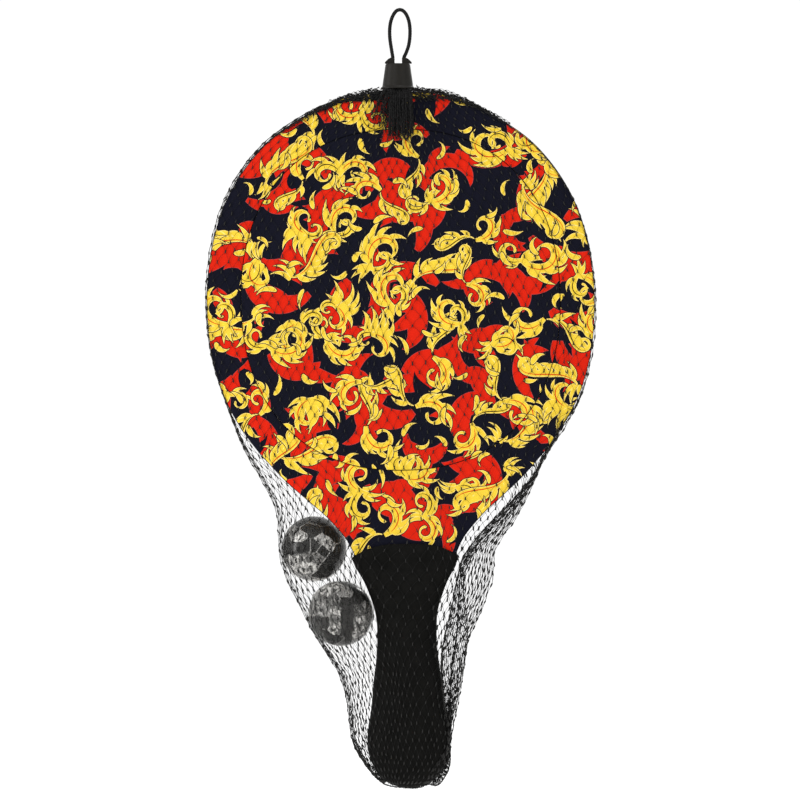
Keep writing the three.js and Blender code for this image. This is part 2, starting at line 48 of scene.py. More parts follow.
camera = bpy.data.objects.new("camera", bpy.data.cameras.new("camera"))
bpy.context.scene.collection.objects.link(camera)
camera.data.lens = 150
camera.data.sensor_width = 36
camera.location = (0.00016, -2.0667, -0.24081)
camera.rotation_euler = (math.radians(90), 0, 0)
camera.data.clip_start, camera.data.clip_end = 0.05, 40
bpy.context.scene.camera = camera

# ------------------------------------------------------- light and backdrop

view = bpy.context.scene.view_settings
view.view_transform = "Standard"
view.look = "None"
view.exposure = 0.0
view.gamma = 1.0

world = bpy.data.worlds.new("studio")
world.use_nodes = True
world.node_tree.nodes["Background"].inputs["Color"].default_value = (1, 1, 1, 1)
world.node_tree.nodes["Background"].inputs["Strength"].default_value = 1.03
bpy.context.scene.world = world


def softbox(name, where, aim, width, height, watts):
    light = bpy.data.lights.new(name, "AREA")
    light.shape = "RECTANGLE"
    light.size, light.size_y = width, height
    light.energy = watts
    o = bpy.data.objects.new(name, light)
    bpy.context.scene.collection.objects.link(o)
    o.location = where
    o.rotation_euler = (Vector(aim) - Vector(where)).to_track_quat("-Z", "Y").to_euler()
    return o


softbox("key", (-0.75, -1.7, 0.75), (0, 0, -0.22), 0.30, 0.30, 3.9)
softbox("strip_right", (0.85, -1.1, 0.15), (0, 0, -0.28), 0.07, 0.7, 1.6)
softbox("strip_left", (-1.15, -0.42, -0.1), (0, 0, -0.25), 0.22, 0.7, 8.0)
softbox("top", (0.15, -0.1, 1.15), (0, 0, -0.2), 0.3, 0.3, 3.2)
softbox("back_key", (0.8, 1.6, 0.6), (0, 0, -0.25), 0.3, 0.3, 3.6)

# ----------------------------------------------------------------- helpers


def piece(name, verts, faces, materials, smooth=True, sharp=None, slots=None):
    """A mesh object from points and faces in metres. faces is a list of index lists, or of arrays of one width each."""
    verts = np.asarray(verts, np.float64).reshape(-1, 3)
    me = bpy.data.meshes.new(name)
    me.vertices.add(len(verts))
    me.vertices.foreach_set("co", verts.ravel().astype(np.float32))
    if len(faces) and isinstance(faces[0], np.ndarray):
        blocks = faces
    else:
        by = {}
        for f in faces:
            by.setdefault(len(f), []).append(f)
        blocks = [np.array(v, np.int32) for v in by.values()]
    loops = np.concatenate([b.ravel() for b in blocks]).astype(np.int32)
    widths = np.concatenate([np.full(len(b), b.shape[1], np.int32) for b in blocks])
    me.loops.add(len(loops))
    me.loops.foreach_set("vertex_index", loops)
    me.polygons.add(len(widths))
    me.polygons.foreach_set("loop_start", np.concatenate([[0], np.cumsum(widths)[:-1]]).astype(np.int32))
    me.update(calc_edges=True)
    if slots is not None:
        me.polygons.foreach_set("material_index", np.asarray(slots, np.int32))
    for m in materials if isinstance(materials, (list, tuple)) else [materials]:
        me.materials.append(m)
    if smooth:
        me.polygons.foreach_set("use_smooth", np.ones(len(widths), bool))
        if sharp is not None:
            me.set_sharp_from_angle(angle=math.radians(sharp))
    me.update()
    o = bpy.data.objects.new(name, me)
    bpy.context.scene.collection.objects.link(o)
    return o


def goes(o, body, slot, *nodes):
    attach(o, body)
    if nodes:
        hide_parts(*nodes)
    return o


def spline(keys, per):
    """Points along a centripetal Catmull-Rom line through keys, per samples a span."""
    keys = np.asarray(keys, float)
    ext = np.vstack([2 * keys[0] - keys[1], keys, 2 * keys[-1] - keys[-2]])
    out = []
    for i in range(1, len(ext) - 2):
        p0, p1, p2, p3 = ext[i - 1:i + 3]
        t0 = 0.0
        t1 = t0 + max(1e-6, np.linalg.norm(p1 - p0)) ** 0.5
        t2 = t1 + max(1e-6, np.linalg.norm(p2 - p1)) ** 0.5
        t3 = t2 + max(1e-6, np.linalg.norm(p3 - p2)) ** 0.5
        for k in range(per):
            t = t1 + (t2 - t1) * k / per
            a1 = (t1 - t) / (t1 - t0) * p0 + (t - t0) / (t1 - t0) * p1
            a2 = (t2 - t) / (t2 - t1) * p1 + (t - t1) / (t2 - t1) * p2
            a3 = (t3 - t) / (t3 - t2) * p2 + (t - t2) / (t3 - t2) * p3
            b1 = (t2 - t) / (t2 - t0) * a1 + (t - t0) / (t2 - t0) * a2
            b2 = (t3 - t) / (t3 - t1) * a2 + (t - t1) / (t3 - t1) * a3
            out.append((t2 - t) / (t2 - t1) * b1 + (t - t1) / (t2 - t1) * b2)
    out.append(keys[-1])
    return np.array(out)


def uniform_spline(keys, per):
    """The plain Catmull-Rom line that the construction's outlines follow."""
    keys = np.asarray(keys, float)
    out = []
    n = len(keys)
    for i in range(n - 1):
        p0, p1, p2, p3 = keys[max(0, i - 1)], keys[i], keys[i + 1], keys[min(n - 1, i + 2)]
        v0, v1 = (p2 - p0) / 2, (p3 - p1) / 2
        for k in range(per):
            t = k / per
            out.append((2 * p1 - 2 * p2 + v0 + v1) * t ** 3 + (-3 * p1 + 3 * p2 - 2 * v0 - v1) * t * t + v0 * t + p1)
    out.append(keys[-1])
    return np.array(out)


def evenly(line, step):
    """A line resampled at about step."""
    d = np.concatenate([[0], np.cumsum(np.linalg.norm(np.diff(line, axis=0), axis=1))])
    n = max(2, int(round(d[-1] / step)) + 1)
    at = np.linspace(0, d[-1], n)
    return np.stack([np.interp(at, d, line[:, k]) for k in range(line.shape[1])], 1)


def inside(poly, pts):
    """Which points lie inside a closed polygon, by its winding."""
    poly = np.asarray(poly, float)
    a, b = poly, np.roll(poly, -1, axis=0)
    wind = np.zeros(len(pts), np.int32)
    for (x0, z0), (x1, z1) in zip(a, b):
        if z0 == z1:
            continue
        cross = (x1 - x0) * (pts[:, 1] - z0) - (pts[:, 0] - x0) * (z1 - z0)
        if z0 < z1:
            wind += (pts[:, 1] >= z0) & (pts[:, 1] < z1) & (cross > 0)
        else:
            wind -= (pts[:, 1] >= z1) & (pts[:, 1] < z0) & (cross < 0)
    return wind != 0


def distance_to(loop, pts):
    """Distance from each point to a closed polyline."""
    a, b = loop, np.roll(loop, -1, axis=0)
    best = np.full(len(pts), 1e9)
    for lo in range(0, len(pts), 4000):
        p = pts[lo:lo + 4000]
        d = b - a
        t = np.clip(((p[:, None] - a) * d).sum(2) / np.maximum(1e-12, (d * d).sum(1)), 0, 1)
        q = a + t[..., None] * d
        best[lo:lo + 4000] = np.sqrt(((p[:, None] - q) ** 2).sum(2).min(1))
    return best


# ------------------------------------------------------- the racket's shape

TILT, RX, RZ = -0.0183, 0.465, -172.6
BLADE_TOP = 122.9
BLADE_HALF = [
    [120.6, 27.0], [114.0, 46.5], [103.0, 66.0], [91.6, 81.5], [77.6, 94.2], [62.0, 104.3],
    [47.0, 111.0], [26.6, 116.6], [4.0, 119.6], [-11.0, 120.0], [-28.0, 119.0], [-42.0, 116.9],
    [-54.0, 113.9], [-67.0, 109.3], [-83.0, 100.9], [-96.0, 91.9], [-104.5, 84.8], [-117.0, 73.4],
    [-130.0, 59.2], [-138.5, 49.6], [-150.0, 39.2], [-157.0, 34.6], [-164.0, 31.4]]
TONGUE_HALF = [
    [-170.0, 28.3], [-176.0, 25.0], [-182.0, 21.7], [-190.0, 18.6], [-198.0, 16.3], [-206.0, 15.3],
    [-219.0, 15.1], [-230.0, 15.9], [-244.0, 17.6], [-255.0, 18.8], [-266.0, 20.3], [-277.0, 21.6],
    [-286.0, 20.9], [-294.0, 18.0], [-299.0, 14.4], [-302.0, 9.0]]
TONGUE_END = -303.2
PLY, GLUE, PAD = 1.3, 0.1, 2.4
CORE_HALF = (5 * PLY + 4 * GLUE) / 2
PAD_IN = CORE_HALF + GLUE
PAD_OUT = PAD_IN + PAD
PAD_BOTTOM = -166.6
SEAM_RX, SEAM_RZ, SEAM_Z, SEAM_POWER = 98.6, 105.4, -6.2, 2.25


def world_of(x, y, z):
    """Racket millimetres to the model's frame, in metres."""
    c, s = math.cos(TILT), math.sin(TILT)
    x, y, z = np.asarray(x, float), np.asarray(y, float), np.asarray(z, float)
    return np.stack([RX + x * c + z * s, y + 0 * x, RZ - x * s + z * c], -1) * MM


def local_of(x, z):
    c, s = math.cos(TILT), math.sin(TILT)
    return (x - RX) * c - (z - RZ) * s, (x - RX) * s + (z - RZ) * c


half = uniform_spline([(0, BLADE_TOP)] + [(w, z) for z, w in BLADE_HALF + TONGUE_HALF] + [(0, TONGUE_END)], 24)
core_side = evenly(half, 1.1)
pad_half = uniform_spline([(0, BLADE_TOP)] + [(w, z) for z, w in BLADE_HALF], 24)
pad_side = evenly(np.vstack([pad_half, [[30.0, PAD_BOTTOM]]]), 1.1)
core_loop = np.vstack([core_side[:-1] * [-1, 1], core_side[:0:-1]])  # counter-clockwise seen from the front
pad_loop = np.vstack([pad_side * [-1, 1], pad_side[:0:-1]])


def blade_half(z):
    """Half width of the blade at a height of the racket's own frame."""
    return np.interp(-np.asarray(z, float), -half[:, 1][half[:, 1] > -303.19], half[:, 0][half[:, 1] > -303.19])


def super_ellipse(a, b, power, t):
    c, s = np.cos(t), np.sin(t)
    r = (np.abs(c) ** power + np.abs(s) ** power) ** (-1.0 / power)
    return a * c * r, b * s * r


def seam_loop(grow, n=560):
    t = np.linspace(0, 2 * math.pi, n, endpoint=False)
    x, z = super_ellipse(SEAM_RX + grow, SEAM_RZ + grow, SEAM_POWER, t)
    return np.stack([x, z + SEAM_Z], 1)


def shrink(loop, d):
    """A counter-clockwise loop moved inwards by d."""
    e = np.roll(loop, -1, axis=0) - np.roll(loop, 1, axis=0)
    e /= np.linalg.norm(e, axis=1)[:, None]
    return loop + d * np.stack([-e[:, 1], e[:, 0]], 1)


def rings(loops, close=True, caps=True):
    """Quads through rings of equal count, with polygon caps at both ends."""
    k, n = len(loops), len(loops[0])
    verts = np.concatenate(loops)
    i = np.arange(n)
    j = (i + 1) % n
    faces = []
    for r in range(k - 1):
        faces.append(np.stack([r * n + i, r * n + j, (r + 1) * n + j, (r + 1) * n + i], 1))
    faces = [np.concatenate(faces)]
    if caps:
        faces.append(np.arange(n)[::-1][None])
        faces.append(((k - 1) * n + np.arange(n))[None])
    return verts, faces


def outward(verts, faces):
    """Flips every face if the closed body's volume is negative."""
    volume = 0.0
    for b in faces:
        p = verts[b]
        for k in range(1, b.shape[1] - 1):
            volume += np.einsum("ij,ij->i", p[:, 0], np.cross(p[:, k], p[:, k + 1])).sum()
    return faces if volume > 0 else [b[:, ::-1].copy() for b in faces]

# --------------------------------------------------------------- materials


class Nodes:
    """A short way to build a node tree."""

    def __init__(self, name):
        self.material = bpy.data.materials.new(name)
        self.material.use_nodes = True
        self.tree = self.material.node_tree
        self.bsdf = self.tree.nodes["Principled BSDF"]
        self.out = self.tree.nodes["Material Output"]
        self.coords = self.tree.nodes.new("ShaderNodeTexCoord")

    def put(self, socket, value):
        if hasattr(value, "is_output"):
            self.tree.links.new(value, socket)
        else:
            socket.default_value = value

    def node(self, kind, **inputs):
        n = self.tree.nodes.new(kind)
        for k, v in inputs.items():
            self.put(n.inputs[k.replace("_", " ")], v)
        return n

    def mapped(self, scale=(1, 1, 1), rotation=(0, 0, 0), location=(0, 0, 0)):
        m = self.tree.nodes.new("ShaderNodeMapping")
        self.put(m.inputs["Vector"], self.coords.outputs["Object"])
        m.inputs["Scale"].default_value = scale
        m.inputs["Rotation"].default_value = rotation
        m.inputs["Location"].default_value = location
        return m.outputs["Vector"]

    def noise(self, size_mm, detail=2.0, rough=0.5, vector=None, distortion=0.0):
        n = self.tree.nodes.new("ShaderNodeTexNoise")
        self.put(n.inputs["Vector"], self.coords.outputs["Object"] if vector is None else vector)
        n.inputs["Scale"].default_value = 1000.0 / size_mm
        n.inputs["Detail"].default_value = detail
        n.inputs["Roughness"].default_value = rough
        n.inputs["Distortion"].default_value = distortion
        return n.outputs["Fac"]

    def voronoi(self, size_mm, feature="F1", vector=None, randomness=1.0):
        n = self.tree.nodes.new("ShaderNodeTexVoronoi")
        n.feature = feature
        self.put(n.inputs["Vector"], self.coords.outputs["Object"] if vector is None else vector)
        n.inputs["Scale"].default_value = 1000.0 / size_mm
        n.inputs["Randomness"].default_value = randomness
        return n.outputs["Distance"]

    def math(self, operation, a, b=0.0, c=0.0, clamp=False):
        n = self.tree.nodes.new("ShaderNodeMath")
        n.operation = operation
        n.use_clamp = clamp
        for i, v in enumerate((a, b, c)):
            self.put(n.inputs[i], v)
        return n.outputs[0]

    def ramp(self, fac, stops, interpolation="LINEAR"):
        n = self.tree.nodes.new("ShaderNodeValToRGB")
        self.put(n.inputs[0], fac)
        e = n.color_ramp.elements
        n.color_ramp.interpolation = interpolation
        while len(e) < len(stops):
            e.new(0.5)
        for el, (pos, col) in zip(e, stops):
            el.position = pos
            el.color = (*col, 1.0)
        return n.outputs["Color"]

    def range(self, value, lo, hi, out_lo, out_hi):
        n = self.tree.nodes.new("ShaderNodeMapRange")
        for i, v in enumerate((value, lo, hi, out_lo, out_hi)):
            self.put(n.inputs[i], v)
        return n.outputs[0]

    def mix(self, fac, a, b, mode="MIX"):
        n = self.tree.nodes.new("ShaderNodeMix")
        n.data_type = "RGBA"
        n.blend_type = mode
        self.put(n.inputs[0], fac)
        self.put(n.inputs[6], a if hasattr(a, "is_output") else (*a, 1.0))
        self.put(n.inputs[7], b if hasattr(b, "is_output") else (*b, 1.0))
        return n.outputs[2]

    def bump(self, height, distance_mm, strength=1.0, normal=None):
        n = self.tree.nodes.new("ShaderNodeBump")
        n.inputs["Strength"].default_value = strength
        n.inputs["Distance"].default_value = distance_mm * MM
        self.put(n.inputs["Height"], height)
        if normal is not None:
            self.put(n.inputs["Normal"], normal)
        return n.outputs["Normal"]

    def finish(self, color, rough, normal=None, specular=0.5, **extra):
        self.put(self.bsdf.inputs["Base Color"], color if hasattr(color, "is_output") else (*color, 1.0))
        self.put(self.bsdf.inputs["Roughness"], rough)
        self.bsdf.inputs["Specular IOR Level"].default_value = specular
        for k, v in extra.items():
            self.put(self.bsdf.inputs[k.replace("_", " ")], v)
        if normal is not None:
            self.put(self.bsdf.inputs["Normal"], normal)
        return self.material


def srgb(r, g, b, k=1.0):
    def f(v):
        v /= 255.0
        return k * (v / 12.92 if v <= 0.04045 else ((v + 0.055) / 1.055) ** 2.4)
    return (f(r), f(g), f(b))


def printed_neoprene():
    n = Nodes("neoprene_print")
    ink = n.tree.nodes.new("ShaderNodeAttribute")
    ink.attribute_name = "print"
    xyz = n.tree.nodes.new("ShaderNodeSeparateXYZ")
    n.put(xyz.inputs[0], n.coords.outputs["Object"])
    # The knitted face cloth: fine wales down the racket and courses across it.
    wale = n.math("SINE", n.math("MULTIPLY", xyz.outputs["X"], 2 * math.pi / 0.00052))
    course = n.math("SINE", n.math("ADD", n.math("MULTIPLY", xyz.outputs["Z"], 2 * math.pi / 0.00044), n.math("MULTIPLY", wale, 0.9)))
    knit = n.math("MULTIPLY_ADD", n.math("MULTIPLY", wale, course), 0.5, 0.5)
    fuzz = n.noise(0.25, 3.0, 0.6)
    wear = n.noise(21.0, 4.0, 0.62)
    tone = n.math("ADD", n.range(knit, 0, 1, 0.965, 1.02), n.range(wear, 0.3, 0.7, -0.035, 0.035))
    tone = n.math("ADD", tone, n.range(fuzz, 0.25, 0.75, -0.02, 0.02))
    shade = n.tree.nodes.new("ShaderNodeVectorMath")
    shade.operation = "SCALE"
    n.put(shade.inputs[0], ink.outputs["Color"])
    n.put(shade.inputs["Scale"], tone)
    height = n.math("ADD", n.math("MULTIPLY", knit, 0.5), n.math("MULTIPLY", fuzz, 0.6))
    low = n.bump(wear, 0.9, 0.5)
    rough = n.range(n.math("ADD", knit, wear), 0.4, 1.5, 0.84, 0.72)
    return n.finish(shade.outputs[0], rough, n.bump(height, 0.07, 0.6, low), 0.06)


def foam_edge():
    n = Nodes("neoprene_foam")
    cells = n.voronoi(0.32)
    grain = n.noise(0.5, 3.0, 0.6)
    color = n.ramp(n.math("MULTIPLY_ADD", cells, 0.6, n.math("MULTIPLY", grain, 0.4)), [(0.15, (0.004, 0.004, 0.0045)), (0.7, (0.014, 0.0135, 0.014))])
    return n.finish(color, 0.95, n.bump(cells, 0.12, 0.8), 0.08)


def grip_foam():
    n = Nodes("grip_foam")
    cells = n.voronoi(0.42)
    fine = n.noise(0.22, 3.0, 0.65)
    skin = n.noise(7.0, 4.0, 0.6)
    long = n.noise(3.2, 3.0, 0.6, n.mapped((1, 1, 0.22)))
    color = n.ramp(n.math("ADD", n.math("MULTIPLY", skin, 0.55), n.math("MULTIPLY", n.math("ADD", fine, long), 0.24)),
                   [(0.25, (0.0028, 0.0028, 0.0025)), (0.55, (0.0046, 0.0045, 0.004)), (0.8, (0.0078, 0.0076, 0.007))])
    height = n.math("ADD", n.math("MULTIPLY", cells, 0.8), n.math("MULTIPLY", fine, 0.7))
    low = n.bump(n.math("ADD", skin, n.math("MULTIPLY", long, 0.6)), 0.8, 0.5)
    rough = n.range(skin, 0.3, 0.7, 0.9, 0.76)
    return n.finish(color, rough, n.bump(height, 0.11, 0.75, low), 0.05)


def wood(name, along, light, dark):
    n = Nodes(name)
    scale = {"z": (1, 1, 0.045), "x": (0.045, 1, 1)}[along]
    v = n.mapped(scale)
    warp = n.noise(26, 2.0, 0.5, v)
    broad = n.noise(5.5, 4.0, 0.6, v, 0.6)
    fine = n.noise(0.55, 3.0, 0.65, v)
    pores = n.voronoi(0.5, vector=n.mapped(tuple(s if s == 1 else 0.12 for s in scale)))
    figure = n.math("ADD", n.math("MULTIPLY", broad, 0.6), n.math("ADD", n.math("MULTIPLY", warp, 0.2), n.math("MULTIPLY", fine, 0.22)))
    base = n.ramp(figure, [(0.3, dark), (0.52, tuple((a + b) / 2 for a, b in zip(light, dark))), (0.72, light)])
    specks = n.range(pores, 0.03, 0.22, 0.72, 1.0)
    color = n.mix(1.0, base, n.ramp(specks, [(0.0, (0.55, 0.5, 0.45)), (1.0, (1, 1, 1))]), "MULTIPLY")
    height = n.math("ADD", n.math("MULTIPLY", fine, 0.6), n.math("MULTIPLY", broad, 0.4))
    rough = n.range(fine, 0.3, 0.7, 0.5, 0.68)
    return n.finish(color, rough, n.bump(height, 0.12, 0.55), 0.3)


def moulded_plastic():
    n = Nodes("collar_plastic")
    mottle = n.noise(2.6, 4.0, 0.6)
    fine = n.noise(0.16, 2.0, 0.6)
    flow = n.noise(1.4, 3.0, 0.6, n.mapped((1, 1, 0.12)))
    scuff = n.noise(0.8, 5.0, 0.75, n.mapped((0.35, 1, 1), (0, 0.6, 0)))
    base = n.ramp(n.math("ADD", n.math("MULTIPLY", mottle, 0.5), n.math("MULTIPLY", flow, 0.5)),
                  [(0.3, srgb(17, 15, 12)), (0.55, srgb(22, 20, 16)), (0.75, srgb(29, 26, 21))])
    marks = n.range(scuff, 0.66, 0.8, 0.0, 0.3)
    color = n.mix(marks, base, srgb(60, 56, 50))
    height = n.math("ADD", n.math("MULTIPLY", fine, 0.5), n.math("MULTIPLY", flow, 0.6))
    rough = n.range(n.math("ADD", mottle, scuff), 0.6, 1.4, 0.34, 0.52)
    return n.finish(color, rough, n.bump(height, 0.05, 0.6), 0.15)


def black_cord():
    n = Nodes("loop_cord")
    fibre = n.noise(0.09, 3.0, 0.7, n.mapped((1, 1, 0.3)))
    dirt = n.noise(3.0, 3.0, 0.6)
    color = n.ramp(n.math("ADD", n.math("MULTIPLY", fibre, 0.7), n.math("MULTIPLY", dirt, 0.3)),
                   [(0.3, (0.003, 0.003, 0.0032)), (0.7, (0.011, 0.0108, 0.0105))])
    return n.finish(color, n.range(fibre, 0.3, 0.7, 0.55, 0.8), n.bump(fibre, 0.05, 0.7), 0.09, Sheen_Weight=0.02)


def black_thread():
    n = Nodes("net_thread")
    fibre = n.noise(0.07, 2.0, 0.7)
    age = n.noise(9.0, 3.0, 0.6)
    color = n.ramp(n.math("ADD", n.math("MULTIPLY", fibre, 0.5), n.math("MULTIPLY", age, 0.5)),
                   [(0.3, (0.002, 0.002, 0.0022)), (0.72, (0.008, 0.0078, 0.0076))])
    knot_glint = n.tree.nodes.new("ShaderNodeAttribute")
    knot_glint.attribute_name = "knot_glint"
    # knots painted lighter than the thread: a painted highlight where they catch the light
    color = n.mix(knot_glint.outputs["Fac"], color, (0.0155, 0.0152, 0.0142))
    return n.finish(color, n.range(fibre, 0.3, 0.7, 0.36, 0.58), n.bump(fibre, 0.03, 0.6), 0.13)


def dark_rubber():
    n = Nodes("ball_rubber")
    grain = n.noise(0.35, 3.0, 0.6)
    bloom = n.noise(9.0, 5.0, 0.6)
    color = n.ramp(n.math("ADD", n.math("MULTIPLY", bloom, 0.7), n.math("MULTIPLY", grain, 0.3)),
                   [(0.3, (0.0045, 0.0043, 0.0038)), (0.55, (0.0085, 0.0081, 0.0072)), (0.8, (0.018, 0.017, 0.015))])
    rough = n.range(bloom, 0.3, 0.7, 0.62, 0.46)
    return n.finish(color, rough, n.bump(grain, 0.06, 0.6, n.bump(bloom, 0.5, 0.3)), 0.16)


def clear_film():
    """Thin clear film: it shows what is behind it, and the pale reflections of its crumpled shards and creases are
    painted on it: a painted reflection, mixed in as a pale diffuse haze by the painted amount.
    """
    n = Nodes("clear_film")
    n.tree.nodes.remove(n.bsdf)
    painted = n.tree.nodes.new("ShaderNodeAttribute")
    painted.attribute_name = "painted_reflection"
    # painted reflection: how pale the film looks is read from the painted attribute, its strength varied by noise
    reflection_patchiness = n.range(n.noise(1.1, 4.0, 0.7), 0.3, 0.7, 0.7, 1.3)
    painted_reflection_amount = n.math("MULTIPLY", painted.outputs["Fac"], reflection_patchiness)
    normal = n.bump(n.noise(3.4, 3.0, 0.6), 0.18, 0.35)
    fresnel = n.tree.nodes.new("ShaderNodeFresnel")
    fresnel.inputs["IOR"].default_value = 1.34
    n.put(fresnel.inputs["Normal"], normal)
    gloss = n.tree.nodes.new("ShaderNodeBsdfAnisotropic")
    gloss.inputs["Color"].default_value = (0.97, 0.965, 0.95, 1)
    gloss.inputs["Roughness"].default_value = 0.24
    n.put(gloss.inputs["Normal"], normal)
    # the pale diffuse haze that paints the film's reflections
    reflection_paint = n.tree.nodes.new("ShaderNodeBsdfDiffuse")
    reflection_paint.inputs["Color"].default_value = (0.8, 0.78, 0.74, 1)
    clear = n.tree.nodes.new("ShaderNodeBsdfTransparent")
    clear.inputs["Color"].default_value = (0.97, 0.97, 0.965, 1)
    painted_reflection = n.tree.nodes.new("ShaderNodeMixShader")
    n.put(painted_reflection.inputs[0], painted_reflection_amount)
    n.put(painted_reflection.inputs[1], clear.outputs[0])
    n.put(painted_reflection.inputs[2], reflection_paint.outputs[0])
    both = n.tree.nodes.new("ShaderNodeMixShader")
    n.put(both.inputs[0], n.math("MINIMUM", n.math("MULTIPLY", fresnel.outputs[0], 0.75), 0.14))
    n.put(both.inputs[1], painted_reflection.outputs[0])
    n.put(both.inputs[2], gloss.outputs[0])
    n.put(n.out.inputs["Surface"], both.outputs[0])
    return n.material


def studio_floor():
    n = Nodes("floor")
    tone = n.range(n.noise(180, 2.0, 0.5), 0.3, 0.7, 0.985, 0.995)
    return n.finish(n.ramp(tone, [(0.0, (0.9, 0.9, 0.9)), (1.0, (0.995, 0.995, 0.995))]), 0.9, None, 0.0)


PRINT = printed_neoprene()
FOAM_EDGE = foam_edge()
GRIP = grip_foam()
FACE_WOOD = wood("plywood", "z", srgb(226, 196, 150, 0.9), srgb(192, 152, 102, 0.9))
CROSS_WOOD = wood("plywood_cross", "x", srgb(186, 146, 98, 0.9), srgb(140, 100, 60, 0.9))
PLASTIC = moulded_plastic()
CORD = black_cord()
THREAD = black_thread()
RUBBER = dark_rubber()
FILM = clear_film()

floor = piece("floor", [(-4, -4, -0.56), (4, -4, -0.56), (4, 4, -0.56), (-4, 4, -0.56)], [[0, 1, 2, 3]], studio_floor(), smooth=False)

# --------------------------------------------------------------- hang loop

LOOP_PATH = [
    [-4.3, -40.2], [-4.3, -36.0], [-4.3, -32.0], [-4.32, -28.6], [-4.9, -24.8], [-5.6, -20.5], [-6.15, -16.0],
    [-6.2, -10.5], [-5.4, -5.6], [-3.7, -1.6], [-1.9, 0.55], [0.0, 1.15], [1.9, 0.6],
    [3.8, -1.4], [5.5, -5.3], [6.3, -10.3], [6.25, -15.8], [5.5, -21.0], [4.1, -25.2],
    [2.55, -28.8], [2.5, -32.0], [2.5, -36.0], [2.5, -40.2]]
CORD_D = 2.3


def swept(line, radius, sides, phase=0.0):
    """Rings round a line. radius(k, angles) gives each ring's radii in the line's units. Returns points and quads with caps."""
    n = len(line)
    tangent = np.gradient(line, axis=0)
    tangent /= np.linalg.norm(tangent, axis=1)[:, None]
    ref = np.array([0.0, 1.0, 0.0]) if abs(tangent[0][1]) < 0.9 else np.array([1.0, 0.0, 0.0])
    u = np.cross(tangent[0], ref)
    u /= np.linalg.norm(u)
    t = 2 * math.pi * np.arange(sides) / sides + phase
    loops = []
    for k in range(n):
        u = u - tangent[k] * np.dot(u, tangent[k])
        u /= np.linalg.norm(u)
        v = np.cross(tangent[k], u)
        r = np.broadcast_to(np.asarray(radius(k, t), float), t.shape)
        loops.append(line[k] + (r * np.cos(t))[:, None] * u + (r * np.sin(t))[:, None] * v)
    return rings(loops)


loop_line = spline([(x, 0.0, z) for x, z in LOOP_PATH], 10)
loop_line = evenly(loop_line, 0.2)
loop_steps = np.concatenate([[0], np.cumsum(np.linalg.norm(np.diff(loop_line, axis=0), axis=1))])


def braid(k, t):
    """A round braid of eight strands, four each way."""
    s = loop_steps[k] * 2 * math.pi / 6.4
    over = np.abs(np.sin(2 * t + 2 * s))
    under = np.abs(np.sin(2 * t - 2 * s))
    return CORD_D / 2 * (0.875 + 0.125 * np.maximum(over, under) ** 0.8)


v, f = swept(loop_line, braid, 28)
hang = piece("hang_loop_cord", v * MM, outward(v, f), CORD)
goes(hang, "racket_in_net", "loop_cord", "hang_loop")

# ------------------------------------------------- the print on the neoprene
#
# A traditional kind of ornament: leafy scrolls, plumes and flames in yellow
# over red ribbons on navy, laid out at random from one fixed seed.

# Colours of the print, by index.
NAVY, RED, YELLOW, PALE, DARK, PINK = 0, 1, 2, 3, 4, 5

def trail(p, heading, length, turn, power, n):
    """Points and headings along a line whose direction turns by turn radians, faster towards the end if power > 1."""
    x, z = p
    out = [(x, z, heading)]
    step = length / n
    for k in range(n):
        t = (k + 0.5) / n
        a = heading + turn * t ** power
        x += math.cos(a) * step
        z += math.sin(a) * step
        out.append((x, z, heading + turn * ((k + 1) / n) ** power))
    return out

def brush(line, width, grow=0.0, tip=0.0):
    """The outline of a stroke along line, width(t) wide, grown by grow all round."""
    n = len(line) - 1
    left, right = [], []
    for k, (x, z, a) in enumerate(line):
        h = width(k / n) / 2 + grow
        if h < 0.02:
            h = 0.02
        c, s = math.cos(a), math.sin(a)
        if k == 0 and grow > 0:
            x, z = x - c * grow, z - s * grow
        if k == n:
            x, z = x + c * (grow * 1.6 + tip), z + s * (grow * 1.6 + tip)
            h = 0.0
        left.append((x - s * h, z + c * h))
        right.append((x + s * h, z - c * h))
    right.pop()
    return left + right[::-1]

def leaf_width(w, root=0.55):
    return lambda t: w * (root * (1 - t) ** 0.9 + 1.35 * math.sin(math.pi * min(1.0, t ** 0.75)) * (1 - t) ** 0.35 * 0.75)

class Motif:
    def __init__(self):
        self.strokes = []   # (line, width function)
        self.veins = []
        self.red = []
        self.spots = []
    def leaf(self, p, heading, length, w, bend, hook=0.0, n=9, root=0.55):
        line = trail(p, heading, length, bend + hook, 1.0 if hook == 0 else 1.5, n)
        self.strokes.append((line, leaf_width(w, root)))
        return line

def scroll(m, p, heading, length, w, turn, rng, power=1.7, leaves=4, side=1, flare=1.0, n=34, first=0.1, last=0.62):
    line = trail(p, heading, length, turn * side, power, n)
    def width(t):
        body = w * (0.25 + 0.95 * math.sin(math.pi * min(1, t * 1.15 + 0.08)) ** 0.9) if t < 0.8 else None
        if body is None:
            edge = w * (0.25 + 0.95 * math.sin(math.pi * min(1, 0.8 * 1.15 + 0.08)) ** 0.9)
            u = (t - 0.8) / 0.2
            body = edge * (1 - u) + w * (0.52 if u < 0.75 else 0.52 * math.sqrt(max(0.0, 1 - ((u - 0.75) / 0.25) ** 2))) * u
        return body
    m.strokes.append((line, width))
    for i in range(leaves):
        t = first + (last - first) * (i + 0.3 * rng.random()) / max(1, leaves - 0.3)
        k = int(t * n)
        x, z, a = line[k]
        off = width(k / n) * 0.32
        # on the outer side of the turn, swept back
        x += math.sin(a) * off * side
        z -= math.cos(a) * off * side
        size = (1.0 - 0.45 * t) * flare
        m.leaf((x, z), a - side * (0.5 + 0.3 * rng.random()), (11.0 + 6 * rng.random()) * size * w / 4.6, 3.0 * size * w / 4.6,
               side * (0.7 + 0.9 * rng.random()), n=9)
    vein = trail(p, heading, length, turn * side, power, n)
    m.veins.append([(q[0] + math.sin(q[2]) * 0.1 * w * side, q[1] - math.cos(q[2]) * 0.1 * w * side, q[2]) for q in vein[4:int(n * 0.72)]])
    return line

